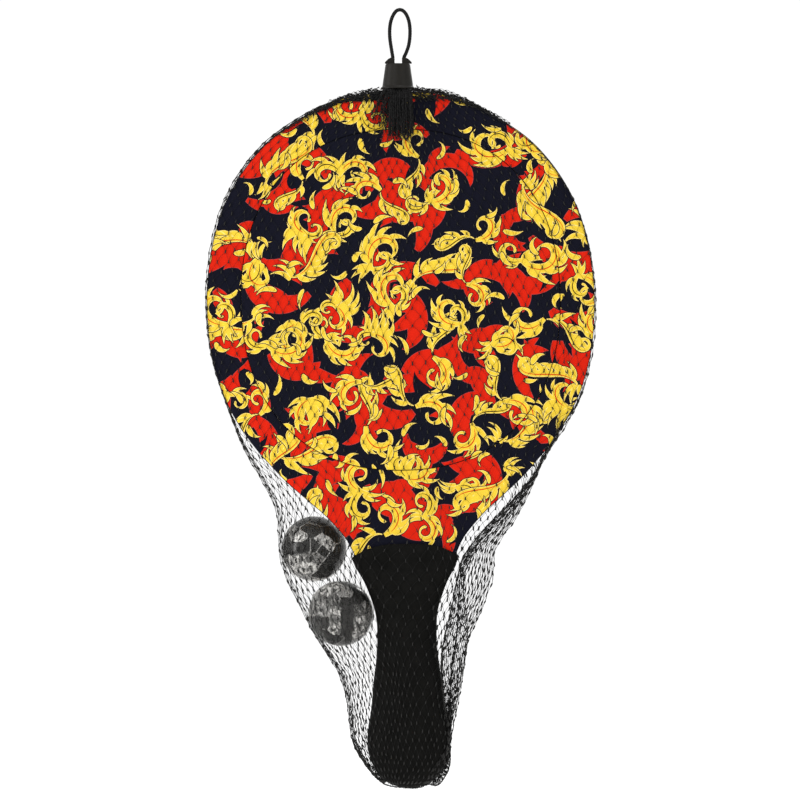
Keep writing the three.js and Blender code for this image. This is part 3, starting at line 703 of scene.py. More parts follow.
def tuft(m, p, heading, size, rng, count=5, side=1, spread=0.46):
    for i in range(count):
        u = (i - (count - 1) / 2)
        m.leaf(p, heading + spread * u, 1.12 * size * (1.0 - 0.11 * abs(u)) * (0.85 + 0.3 * rng.random()), size * 0.22,
               side * (0.55 + 0.35 * rng.random()) - 0.1 * u, n=9, root=0.75)

def tail(m, p, heading, length, w, rng, side=1, fringe=6, n=40):
    """A long stem that swings one way, then the other, and ends in a curl; flames fringe its outer side."""
    line, (x, z), step = [], p, length / n
    curl = 4.9 * min(1.0, length / 58)
    for k in range(n + 1):
        t = k / n
        a = heading + side * (1.2 * math.sin(math.pi * 1.3 * t) - (curl * ((t - 0.56) / 0.44) ** 1.4 if t > 0.56 else 0.0))
        line.append((x, z, a))
        x += math.cos(a) * step
        z += math.sin(a) * step

    def width(t):
        if t < 0.84:
            return w * (0.12 + 0.9 * math.sin(math.pi * min(1.0, 0.02 + t * 1.02)) ** 1.2)
        u = (t - 0.84) / 0.16
        return w * (0.52 if u < 0.6 else 0.55 * math.sqrt(max(0.0, 1 - ((u - 0.6) / 0.4) ** 2)))
    m.strokes.append((line, width))
    for i in range(fringe):
        t = 0.1 + 0.46 * (i + 0.3 * rng.random()) / max(1, fringe - 0.7)
        k = int(t * n)
        x, z, a = line[k]
        off = width(k / n) * 0.3
        x += math.sin(a) * off * side
        z -= math.cos(a) * off * side
        m.leaf((x, z), a - side * (0.8 + 0.3 * rng.random()), (8.5 + 5.5 * rng.random()) * w / 4.2, 2.4, side * (0.5 + 0.9 * rng.random()), n=9, root=0.8)
    m.veins.append([(q[0] - math.sin(q[2]) * 0.12 * w * side, q[1] + math.cos(q[2]) * 0.12 * w * side, q[2]) for q in line[5:int(n * 0.74)]])
    return line

def flames(m, p, heading, size, rng, side=1, count=5):
    """Flames one beside the other, each with its tip drawn over."""
    for i in range(count):
        u = i - (count - 1) / 2
        q = (p[0] - math.sin(heading) * u * size * 0.16, p[1] + math.cos(heading) * u * size * 0.16)
        m.leaf(q, heading - side * 0.75 + 0.24 * u, size * (1.2 - 0.13 * abs(u)) * (0.7 + 0.45 * rng.random()), size * 0.165,
               side * (1.1 + 1.0 * rng.random()), n=11, root=0.8)

def make_motif(kind, rng, side):
    m = Motif()
    if kind == 0:    # a leafy scroll that runs out into a smaller one
        scroll(m, (-11, -9), 1.15, 47, 4.8, 6.4, rng, leaves=5, side=-side)
        scroll(m, (-11.5, -8), -1.0, 29, 3.8, 5.6, rng, leaves=2, side=side, flare=0.9)
        tuft(m, (-11, -8), 2.6, 11, rng, 3, side)
    elif kind == 1:  # a fringed tail and a scroll
        scroll(m, (-3, -2), 0.2, 38, 4.7, 5.8, rng, leaves=4, side=side)
        tail(m, (-4, -1), 2.6, 42, 3.7, rng, side, 4)
    elif kind == 2:  # two scrolls back to back
        scroll(m, (-1, -6), 1.0, 38, 4.4, 6.2, rng, leaves=3, side=-side)
        scroll(m, (0, -6), 2.1, 36, 4.4, 6.0, rng, leaves=3, side=side)
        flames(m, (-0.5, -6), -1.57, 12, rng, side, 3)
    elif kind == 3:  # a long fringed tail
        tail(m, (-17, -4), 0.1, 60, 4.6, rng, side, 8)
        flames(m, (-15, -4), 2.7, 12.5, rng, side, 3)
    else:            # flames that rise from a scroll
        flames(m, (-5, -2), 1.4, 19, rng, side, 5)
        scroll(m, (-8, -3), 0.0, 33, 4.4, 5.2, rng, leaves=3, side=-side)
        scroll(m, (-5, -3), 2.9, 22, 3.6, 5.0, rng, leaves=1, side=side)
    return m

def placed(line, x, z, turn, size):
    c, s = math.cos(turn), math.sin(turn)
    return [(x + size * (c * px - s * pz), z + size * (s * px + c * pz), a + turn) for px, pz, a in line]

def spaced(rng, gap, half_x, low, high, tries=6000, inside=None, taken=()):
    points = list(taken)
    fresh = []
    for _ in range(tries):
        p = (rng.uniform(-half_x, half_x), rng.uniform(low, high))
        if inside is not None and not inside(p):
            continue
        if all((p[0] - q[0]) ** 2 + (p[1] - q[1]) ** 2 >= gap * gap for q in points):
            points.append(p)
            fresh.append(p)
    return fresh

def ornament(seed=11, half_x=124, low=-172, high=128, gap=25.6, red_gap=24.3, rim=0.34, outline=0.46):
    """The whole print: a list of (colour, polygon), drawn from first to last."""
    rng = random.Random(seed)
    layers = []
    # red ribbons and flames under everything
    fills = []
    for x, z in spaced(rng, red_gap, half_x, low, high):
        turn = rng.uniform(0, 2 * math.pi)
        side = rng.choice((-1, 1))
        length = rng.uniform(34, 56)
        w = rng.uniform(8.5, 13.5)
        body = trail((-length / 2, 0), 0.0, length, side * rng.uniform(1.6, 3.2), 1.2, 26)
        shapes = [(body, (lambda w: lambda t: w * math.sin(math.pi * min(1.0, 0.06 + 0.94 * t)) ** 0.75)(w))]
        for k in range(rng.choice((1, 2, 2, 3))):
            q = body[rng.randrange(6, 20)]
            bend = rng.uniform(-1.3, 1.3)
            shapes.append((trail(q[:2], q[2] + rng.choice((-1, 1)) * rng.uniform(0.5, 1.0), rng.uniform(15, 24), bend, 1.0, 10),
                           leaf_width(rng.uniform(5.0, 7.5), 0.8)))
        for line, width in shapes:
            layers.append((PINK, brush(placed(line, x, z, turn, 1.0), width, 0.28)))
            fills.append((RED, brush(placed(line, x, z, turn, 1.0), width, 0.0)))
    layers += fills
    # navy bites, which keep the ground showing between the ribbons
    for x, z in spaced(rng, 46, half_x, low, high):
        turn = rng.uniform(0, 2 * math.pi)
        line = placed(trail((-8, 0), 0, rng.uniform(17, 26), rng.choice((-1, 1)) * rng.uniform(0.8, 2.2), 1.0, 12), x, z, turn, 1.0)
        layers.append((NAVY, brush(line, leaf_width(rng.uniform(5, 8.5), 0.4))))
    # the yellow motifs
    spots = spaced(rng, gap, half_x, low, high)
    rng.shuffle(spots)
    order = [0, 1, 2, 3, 4, 0, 3, 1]
    for i, (x, z) in enumerate(spots):
        turn = rng.uniform(0, 2 * math.pi)
        side = rng.choice((-1, 1))
        size = rng.uniform(0.82, 1.06)
        m = make_motif(order[i % len(order)], rng, side)
        strokes = [(placed(line, x, z, turn, size), (lambda f: lambda t: f(t) * size)(width)) for line, width in m.strokes]
        for line, width in strokes:
            layers.append((DARK, brush(line, width, outline)))
        for line, width in strokes:
            layers.append((PALE, brush(line, width)))
        for line, width in strokes:
            layers.append((YELLOW, brush(line, width, -rim)))
        for k, vein in enumerate(m.veins):
            line = placed(vein, x, z, turn, size)
            layers.append((DARK if k % 2 else RED, brush(line, lambda t: 0.62 * math.sin(math.pi * (0.15 + 0.8 * t)))))
    # small flames between them
    for x, z in spaced(rng, 14.5, half_x, low, high, 5000, taken=spots):
        turn = rng.uniform(0, 2 * math.pi)
        side = rng.choice((-1, 1))
        line = placed(trail((-4, 0), 0, rng.uniform(9, 15), side * rng.uniform(1.0, 2.6), 1.2, 10), x, z, turn, 1.0)
        width = leaf_width(rng.uniform(2.2, 3.4), 0.35)
        layers.append((DARK, brush(line, width, outline)))
        layers.append((PALE, brush(line, width)))
        layers.append((YELLOW, brush(line, width, -rim)))
    return layers



INKS = {
    NAVY: srgb(16, 17, 30, 0.8), RED: srgb(228, 37, 14, 0.74), YELLOW: srgb(242, 206, 62, 0.84),
    PALE: srgb(250, 224, 128, 0.86), DARK: srgb(24, 8, 10, 0.9), PINK: srgb(190, 70, 70, 0.72),
}
BLACK = (0.006, 0.006, 0.0065)


def moved(layers, dx, dz, turn):
    """The same print laid a little off, as on a panel cut from another place of the roll."""
    c, s = math.cos(turn), math.sin(turn)
    return [(colour, [(c * x - s * z + dx, s * x + c * z + dz) for x, z in poly]) for colour, poly in layers]


def cut(coords, edges):
    out = delaunay_2d_cdt([Vector(c) for c in coords], edges, [], 0, 1e-5, False)
    return np.array([tuple(v) for v in out[0]], float), np.array([f for f in out[2] if len(f) == 3], np.int64)


def edge_count(tris):
    """Every edge of a triangle mesh once, with the triangles on its two sides (-1 on a border)."""
    e = np.sort(np.stack([tris, np.roll(tris, -1, 1)], 2).reshape(-1, 2), 1)
    key = e[:, 0] * (tris.max() + 1) + e[:, 1]
    order = np.argsort(key, kind="stable")
    first = np.r_[True, np.diff(key[order]) != 0]
    at = np.nonzero(first)[0]
    size = np.diff(np.r_[at, len(order)])
    one = order[at] // 3
    two = np.where(size > 1, order[np.minimum(at + 1, len(order) - 1)] // 3, -1)
    return e[order[at]], one, two


def printed_regions(loops, hole, layers):
    """Triangles inside loops[0] and outside hole, cut along the print's own edges, and each one's ink."""
    coords, edges = [], []
    low, high = loops[0].min(0), loops[0].max(0)
    for loop in loops:
        base = len(coords)
        coords.extend(map(tuple, loop))
        edges.extend((base + i, base + (i + 1) % len(loop)) for i in range(len(loop)))
    outline_count = len(edges)
    arrays = [np.asarray(poly) for _, poly in layers]
    arrays = [a for a in arrays if not ((a.max(0) < low).any() or (a.min(0) > high).any())]
    every = np.concatenate(arrays)
    kept = inside(loops[0], every)
    if hole is not None:
        kept &= ~inside(shrink(hole, 1.5), every)
    at = 0
    for a in arrays:
        keep = kept[at:at + len(a)]
        at += len(a)
        if not keep.any():
            continue
        base = len(coords)
        coords.extend(map(tuple, a))
        n = len(a)
        for i in range(n):
            j = (i + 1) % n
            if keep[i] or keep[j]:
                edges.append((base + i, base + j))

    def within(verts, tris):
        middle = verts[tris].mean(1)
        keep = inside(loops[0], middle)
        if hole is not None:
            keep &= ~inside(hole, middle)
        a, b, c = verts[tris[:, 0]], verts[tris[:, 1]], verts[tris[:, 2]]
        area = ((b - a)[:, 0] * (c - a)[:, 1] - (b - a)[:, 1] * (c - a)[:, 0]) / 2
        keep &= np.abs(area) > 1e-9
        tris, middle, area = tris[keep], middle[keep], area[keep]
        tris[area < 0] = tris[area < 0][:, ::-1]
        return tris, middle

    def inked(middle):
        colour = np.zeros(len(middle), np.int32)
        order = np.argsort(middle[:, 0])
        sorted_x = middle[order, 0]
        for ink, poly in layers:
            p = np.asarray(poly)
            lo, hi = np.searchsorted(sorted_x, (p[:, 0].min(), p[:, 0].max()))
            if lo == hi:
                continue
            found = order[lo:hi]
            z = middle[found, 1]
            found = found[(z >= p[:, 1].min()) & (z <= p[:, 1].max())]
            if len(found):
                colour[found[inside(p, middle[found])]] = ink
        return colour

    verts, tris = cut(coords, edges)
    tris, middle = within(verts, tris)
    colour = inked(middle)
    # Only the edges where the ink changes are kept, with the outlines and insets.
    e, one, two = edge_count(tris)
    change = (two >= 0) & (colour[one] != colour[np.maximum(two, 0)])
    marks = e[change]
    base = sum(len(loop) for loop in loops)
    used = np.unique(marks)
    remap = np.full(len(verts), -1, np.int64)
    remap[used] = np.arange(len(used)) + base
    coords = [tuple(c) for loop in loops for c in loop] + [tuple(c) for c in verts[used]]
    edges = edges[:outline_count] + [(int(a), int(b)) for a, b in remap[marks]]
    verts, tris = cut(coords, edges)
    tris, middle = within(verts, tris)
    return verts, tris, inked(middle)


def printed_pad(loops, layers, edge_profile):
    """One neoprene panel in the racket's frame: its printed top at y = -PAD_OUT, with rounded edges, foam sides and back.
    loops[0] is the outline and loops[1], if any, the hole. edge_profile is rows of (distance in from an edge, how far below the top)."""
    nested = [loops[0]]
    for d, _ in edge_profile[1:]:
        nested.append(shrink(loops[0], d))
    for loop in loops[1:]:
        nested.append(loop)
        nested.extend(shrink(loop, -d) for d, _ in edge_profile[1:])
    verts, tris, colour = printed_regions(nested, loops[1] if len(loops) > 1 else None, layers)
    used = np.unique(tris)
    remap = np.zeros(len(verts), np.int64)
    remap[used] = np.arange(len(used))
    verts, tris = verts[used], remap[tris]
    # the rounding at the edges
    near = np.full(len(verts), 1e9)
    rim_near = np.full(len(verts), 1e9)
    widest = edge_profile[-1][0]
    for loop, way in zip(loops, (1, -1)):
        deep = inside(shrink(loop, way * (widest + 0.4)), verts)
        close = np.nonzero(deep if way < 0 else ~deep)[0]
        found = distance_to(loop, verts[close])
        near[close] = np.minimum(near[close], found)
        if way > 0:
            rim_near[close] = found
    d, drop = np.array(edge_profile).T
    y = -PAD_OUT + np.interp(near, d, drop)
    # which way the border runs, for the foam wall below it
    e = np.sort(np.stack([tris, np.roll(tris, -1, 1)], 2).reshape(-1, 2), 1)
    directed = np.stack([tris, np.roll(tris, -1, 1)], 2).reshape(-1, 2)
    key = e[:, 0] * len(verts) + e[:, 1]
    _, first, count = np.unique(key, return_index=True, return_counts=True)
    border = directed[first[count == 1]]
    rim = np.unique(border)
    below = {int(v): len(verts) + i for i, v in enumerate(rim)}
    wall = np.array([[b, a, below[int(a)], below[int(b)]] for a, b in border])
    # the glued back
    index = {int(v): i for i, v in enumerate(rim)}
    out = delaunay_2d_cdt([Vector(verts[v]) for v in rim], [(index[int(a)], index[int(b)]) for a, b in border], [], 0, 1e-5, True)
    back_v = np.array([tuple(v) for v in out[0]])
    back = np.array([f for f in out[2] if len(f) == 3], np.int64)
    mid = back_v[back].mean(1)
    keep = inside(loops[0], mid)
    if len(loops) > 1:
        keep &= ~inside(loops[1], mid)
    back = back[keep]
    source = [o[0] if len(o) else -1 for o in out[3]]
    lookup = np.array([below[int(rim[s])] if s >= 0 else -1 for s in source])
    back = lookup[back]
    back = back[(back >= 0).all(1)]
    p = np.vstack([np.c_[verts, y], np.c_[verts[rim], np.full(len(rim), -PAD_IN)]])
    q = p[back]
    turn = (q[:, 1, 0] - q[:, 0, 0]) * (q[:, 2, 1] - q[:, 0, 1]) - (q[:, 1, 1] - q[:, 0, 1]) * (q[:, 2, 0] - q[:, 0, 0])
    back[turn > 0] = back[turn > 0][:, ::-1]
    return p, tris, wall, back, colour, near, rim_near


def pad_object(name, made, turned_round, node):
    p, tris, wall, back, colour, near, rim_near = made
    x, z, y = p[:, 0], p[:, 1], p[:, 2]
    if turned_round:
        x, y = -x, -y
    n_print, n_all = len(tris), len(tris) + len(wall) + len(back)
    o = piece(name, world_of(x, y, z), [np.vstack([tris, back]).astype(np.int32), wall.astype(np.int32)], [PRINT, FOAM_EDGE],
              slots=np.concatenate([np.zeros(n_print), np.ones(n_all - n_print)]), sharp=50)
    inks = np.array([INKS[k] for k in range(6)])[colour]
    seam = near[tris].mean(1) < 0.16
    if "rim" in node:
        seam |= rim_near[tris].mean(1) < 0.42
    inks[seam] = BLACK
    corner = np.ones((len(o.data.loops), 4), np.float32)
    corner[:, :3] = BLACK
    corner[:3 * n_print, :3] = np.repeat(inks, 3, axis=0)
    attribute = o.data.color_attributes.new("print", "FLOAT_COLOR", "CORNER")
    attribute.data.foreach_set("color", corner.ravel())
    goes(o, "racket_in_net", "neoprene_print" if "center" in node else "neoprene_print_rim", node)
    return o


design = ornament()
PAD_EDGE = [(0.0, 0.85), (0.18, 0.5), (0.45, 0.2), (0.95, 0.0)]
SEAM_EDGE = [(0.0, 0.6), (0.16, 0.28), (0.45, 0.08), (0.8, 0.0)]
center_pad = printed_pad([seam_loop(-0.06)], design, SEAM_EDGE)


rim_design = moved(design, 2.3, -1.9, 0.018)
rim_pad = printed_pad([pad_loop, seam_loop(0.06)], rim_design, PAD_EDGE)
for side, turned_round in (("front", False), ("back", True)):
    pad_object(f"neoprene_{side}_center", center_pad, turned_round, f"{side}_center_pad")
    pad_object(f"neoprene_{side}_rim", rim_pad, turned_round, f"{side}_rim_pad")

# ---------------------------------------------------------- plies and grip


def plate(name, y0, y1, material, slot, node, bevel=0.16):
    """One ply of the blade and tongue; its edges are eased, so the glue lines show as fine grooves."""
    loops = []
    for y, inset in ((y0, bevel), (y0 + bevel, 0.0), (y1 - bevel, 0.0), (y1, bevel)):
        l = shrink(core_loop, inset) if inset else core_loop
        loops.append(world_of(l[:, 0], y, l[:, 1]))
    v, f = rings(loops)
    return goes(piece(name, v, outward(v, f), material, sharp=35), "racket_in_net", slot, node)


for i, node in enumerate(("face_ply_front", "cross_ply_front", "center_ply", "cross_ply_back", "face_ply_back")):
    low = -CORE_HALF + i * (PLY + GLUE) - GLUE / 2
    crossed = node.startswith("cross")
    plate(f"blade_{node}", low + 0.004, low + PLY + GLUE - 0.004, CROSS_WOOD if crossed else FACE_WOOD,
          "plywood_cross" if crossed else "plywood", node)

GRIP_ROWS = [
    [-169.5, 31.6, 9.0, 7.0], [-174.3, 29.3, 10.0, 5.0], [-180.5, 25.9, 11.2, 3.6], [-189.0, 22.5, 12.3, 2.9],
    [-197.2, 19.9, 12.8, 2.6], [-206.0, 18.7, 13.0, 2.6], [-219.0, 18.5, 13.0, 2.6], [-229.5, 19.3, 13.2, 2.6],
    [-243.7, 21.1, 13.6, 2.6], [-255.0, 22.4, 14.0, 2.6], [-266.0, 24.2, 14.4, 2.6], [-277.0, 25.7, 14.6, 2.6],
    [-286.0, 24.9, 14.3, 2.6], [-294.6, 22.2, 13.2, 2.6], [-301.5, 17.6, 11.0, 2.6], [-306.0, 11.4, 7.6, 2.5],
    [-308.4, 5.0, 3.4, 2.4]]
MOUTH_HALF, MOUTH_THICK, MOUTH_POWER, MOUTH_TOP, MOUTH_DROP = 33.4, 8.3, 8.0, -157.2, 8.6


def grip_body(sides=144):
    t = 2 * math.pi * np.arange(sides) / sides
    # rows of (height on the centre line, half width, half thickness, 1 / power, share of the mouth's arc)
    rows = [[MOUTH_TOP, MOUTH_HALF, MOUTH_THICK, 1 / MOUTH_POWER, 1.0]] + [[z, a, b, 1 / p, 0.0] for z, a, b, p in GRIP_ROWS]
    fine = uniform_spline(rows, 9)
    fine[:, 4] = np.clip(fine[:, 4], 0, 1)
    dents = random.Random(5)
    waves = [(dents.uniform(0.05, 0.3), dents.uniform(-3, 3), dents.uniform(0, 6.3), dents.uniform(0.02, 0.06)) for _ in range(10)]

    def ring(z, a, b, power, arc, grow=0.0, lift=0.0, soft=True):
        x, y = super_ellipse(a + grow, b + grow, power, t)
        h = z + lift - arc * MOUTH_DROP * np.minimum(1.0, np.abs(x) / MOUTH_HALF) ** 3
        if soft:
            swell = sum(k * np.sin(w * h + m * t + s) for w, m, s, k in waves)
            r = np.hypot(x, y)
            x, y = x * (1 + swell / r), y * (1 + swell / r)
        return world_of(x, y, h)

    loops = []
    z, a, b, q, arc = fine[0]
    # the mouth's lip: foam skin turned in over the neck
    for grow, lift in ((-1.55, -1.2), (-1.5, -0.15), (-1.2, 0.12), (-0.8, 0.16), (-0.4, 0.02), (-0.13, -0.28), (0.0, -0.75)):
        loops.append(ring(z, a, b, 1 / q, arc, grow, lift, soft=grow > -1))
    for z, a, b, q, arc in fine[2:]:
        loops.append(ring(z, a, b, 1 / q, arc))
    z, a, b, q, arc = fine[-1]
    for k in (0.6, 0.25):
        x, y = super_ellipse(a * k, b * k, 2.2, t)
        loops.append(world_of(x, y, np.full(sides, z - 0.35 * (1 - k))))
    outer_count = len(loops)
    # the pocket, from its bottom back up to the mouth
    inner = []

    def tongue(z):
        return float(np.interp(-z, [-r[1] for r in TONGUE_HALF[::-1]][::-1], [r[0] for r in TONGUE_HALF]))

    pocket = []
    for z in np.arange(-163.5, -167.0, -0.7):
        pocket.append((z, float(blade_half(z)) + 0.42, 6.3, 16.0))
    pocket += [(-167.1, float(blade_half(-167.1)) + 0.3, 3.85, 16.0)]
    for z in np.arange(-168.0, -185.5, -2.0):
        pocket.append((z, float(blade_half(z)) + 0.35, 3.85, 16.0))
    pocket.append((-185.6, float(blade_half(-185.6)) + 0.35, 9.6, 16.0))
    for z in np.arange(-188.0, -298.0, -3.0):
        pocket.append((z, float(blade_half(z)) + 0.35, 9.6, 16.0))
    pocket.append((-298.6, float(blade_half(-298.6)) + 0.4, 9.6, 16.0))
    pocket.append((-298.9, float(blade_half(-298.9)) + 0.4, 3.85, 16.0))
    pocket.append((-303.4, 6.0, 3.85, 16.0))
    for z, a, b, p in pocket[::-1]:
        x, y = super_ellipse(a, b, p, t)
        inner.append(world_of(x, y, np.full(sides, z)))
    v_out, f_out = rings(loops, caps=False)
    n = sides
    base = len(v_out)
    v_in, f_in = rings(inner, caps=False)
    i = np.arange(n)
    j = (i + 1) % n
    top_in = base + (len(inner) - 1) * n
    join = np.stack([top_in + i, top_in + j, j, i], 1)
    bottom = ((outer_count - 1) * n + i)[None]
    inner_bottom = (base + i)[::-1][None]
    verts = np.vstack([v_out, v_in])
    faces = [np.vstack([f_out[0], f_in[0] + base, join]), np.vstack([bottom, inner_bottom])]
    return verts, faces


v, f = grip_body()
grip = piece("foam_grip", v, outward(v, f), GRIP, sharp=60)
goes(grip, "racket_in_net", "grip_foam", "grip_sleeve")

for side in ("front", "back"):
    NODES[f"handle_scale_{side}"].data.materials.clear()
    NODES[f"handle_scale_{side}"].data.materials.append(FACE_WOOD)

# ------------------------------------------------------- collar and its plug

COLLAR_X, COLLAR_TOP, COLLAR_BOTTOM, COLLAR_FLAT = -1.2, -32.5, -48.3, 0.82


def collar_body(sides=112):
    profile = [
        (6.62, -32.5), (7.05, -32.5), (7.3, -32.57), (7.5, -32.78), (7.6, -33.1), (7.68, -33.6), (8.1, -36.5), (8.55, -39.7),
        (8.98, -42.7), (9.36, -45.4), (9.46, -46.05), (9.6, -46.5), (9.85, -46.82), (10.15, -46.98), (10.36, -47.14),
        (10.48, -47.38), (10.5, -47.62), (10.46, -47.98), (10.32, -48.2), (10.05, -48.3), (8.7, -48.3), (8.45, -48.24),
        (8.3, -48.0), (7.9, -44.5), (7.3, -39.8), (6.75, -35.4), (6.42, -32.85), (6.45, -32.6)]
    t = 2 * math.pi * np.arange(sides) / sides
    loops = []
    for r, z in profile:
        outer = r > 7.0 and not (-48.1 < z < -32.7 and r < 7.55 + (-33.1 - z) * 0.1)
        seam = 0.09 * np.exp(-(np.minimum(np.abs(np.sin(t)), 1) / 0.035) ** 2) if outer else 0.0
        rr = r + seam
        loops.append(np.stack([COLLAR_X + rr * np.cos(t), COLLAR_FLAT * rr * np.sin(t), np.full(sides, z)], 1))
    loops.append(loops[0])
    v, f = rings(loops[:-1], caps=False)
    n, k = sides, len(profile)
    i = np.arange(n)
    j = (i + 1) % n
    join = np.stack([(k - 1) * n + i, (k - 1) * n + j, j, i], 1)
    return v, [np.vstack([f[0], join])]


v, f = collar_body()
goes(piece("moulded_collar", v * MM, outward(v, f), PLASTIC, sharp=50), "racket_in_net", "collar_plastic", "collar")
plug = NODES["loop_anchor"]
plug.data.materials.clear()
plug.data.materials.append(PLASTIC)
eased = plug.modifiers.new("eased", "BEVEL")
eased.width = 0.22 * MM
eased.segments = 3
eased.limit_method = "ANGLE"
eased.angle_limit = math.radians(35)

# ------------------------------------------------------------------- balls

BALLS = {"upper_ball": (-53.5, 13.5, -333.5), "lower_ball": (-36.7, 6.5, -373.6)}
BALL_R, BALL_WALL = 20.0, 3.6


def half_shell(side, sides=96):
    """One moulded half of a ball about the axis Y, with an eased edge at the bonded equator."""
    profile = [(0.35, BALL_R - 0.003)]
    for k in range(1, 30):
        a = math.pi / 2 * (1 - k / 30)
        profile.append((BALL_R * math.cos(a), BALL_R * math.sin(a)))
    profile += [(BALL_R - 0.01, 0.42), (BALL_R - 0.06, 0.2), (BALL_R - 0.22, 0.05), (BALL_R - 0.5, 0.005)]
    inner = BALL_R - BALL_WALL
    profile += [(inner, 0.005)]
    for k in range(1, 15):
        a = math.pi / 2 * k / 15
        profile.append((inner * math.cos(a), inner * math.sin(a)))
    profile.append((0.35, inner))
    t = 2 * math.pi * np.arange(sides) / sides
    return rings([np.stack([r * np.cos(t), np.full(sides, side * h), r * np.sin(t)], 1) for r, h in profile])


# The film's panels and crumpled patches: (across, up) on a ball of radius 1 as seen from the front, and the kind.
# Each kind: the least and the most painted reflection that its shards get (how pale the film is painted), and how
# crumpled it is.
FILM_KINDS = {"clear": (0.0, 0.006, 0.03), "dull": (0.012, 0.024, 0.05), "fold": (0.01, 0.03, 0.08), "mixed": (0.01, 0.36, 0.75),
              "pale": (0.07, 0.76, 1.0), "sheet": (0.2, 0.3, 0.2)}
# Panels on the front of each ball: what each is like, and the points (x, z over the radius) that it lies round.
FILM_PATCHES = {
    "upper_ball": [
        ("clear", -0.36, 0.82, 0.0, 0.9, 0.34, 0.8), ("clear", 0.46, 0.60), ("clear", 0.66, 0.42), ("dull", 0.02, 0.56), ("dull", -0.20, 0.66),
        ("pale", -0.42, 0.40), ("mixed", -0.60, 0.54), ("dull", -0.85, 0.32, -0.92, -0.04), ("mixed", -0.84, -0.34),
        ("clear", -0.62, -0.04, -0.45, 0.08, -0.24, 0.12), ("dull", 0.04, 0.14), ("pale", 0.45, 0.18), ("pale", 0.22, 0.30),
        ("fold", 0.24, -0.76, 0.43, -0.51, 0.61, -0.27, 0.77, -0.06, 0.93, 0.16), ("clear", 0.29, -0.03), ("mixed", 0.11, -0.27),
        ("mixed", -0.12, -0.24), ("pale", -0.08, -0.52), ("pale", -0.34, -0.34), ("pale", -0.60, -0.32), ("pale", -0.40, -0.60),
        ("mixed", -0.36, -0.80), ("pale", 0.06, -0.95)],
    "lower_ball": [
        ("clear", 0.30, 0.90, 0.52, 0.76, 0.74, 0.56), ("sheet", 0.14, 0.72), ("pale", -0.10, 0.78), ("pale", -0.36, 0.68), ("mixed", -0.20, 0.44),
        ("mixed", -0.58, 0.44), ("dull", 0.54, 0.50), ("dull", 0.19, 0.36, 0.21, 0.10, 0.22, -0.20, 0.21, -0.50, 0.16, -0.84),
        ("pale", -0.17, 0.10), ("mixed", -0.17, -0.20), ("pale", -0.15, -0.42), ("mixed", -0.46, 0.16), ("mixed", -0.80, 0.14),
        ("dull", -0.74, -0.22), ("dull", -0.44, -0.22), ("clear", -0.12, -0.74, -0.38, -0.62), ("dull", -0.62, -0.56), ("mixed", 0.57, 0.16),
        ("pale", 0.56, -0.20), ("pale", 0.52, -0.54), ("mixed", 0.76, 0.24), ("sheet", 0.86, -0.16), ("mixed", 0.46, -0.80)],
}


def nearest_two(points, seeds, starts=None):
    """For unit points: the nearest seed (or run of seeds, by where each run starts), and how much nearer it is than the next."""
    dots = points.astype(np.float32) @ seeds.astype(np.float32).T
    if starts is not None:
        dots = np.maximum.reduceat(dots, starts, axis=1)
    rows = np.arange(len(points))
    first = dots.argmax(1)
    best = dots[rows, first].copy()
    dots[rows, first] = -2
    second = dots.argmax(1)
    return first, second, np.arccos(np.clip(dots[rows, second], -1, 1)) - np.arccos(np.clip(best, -1, 1))


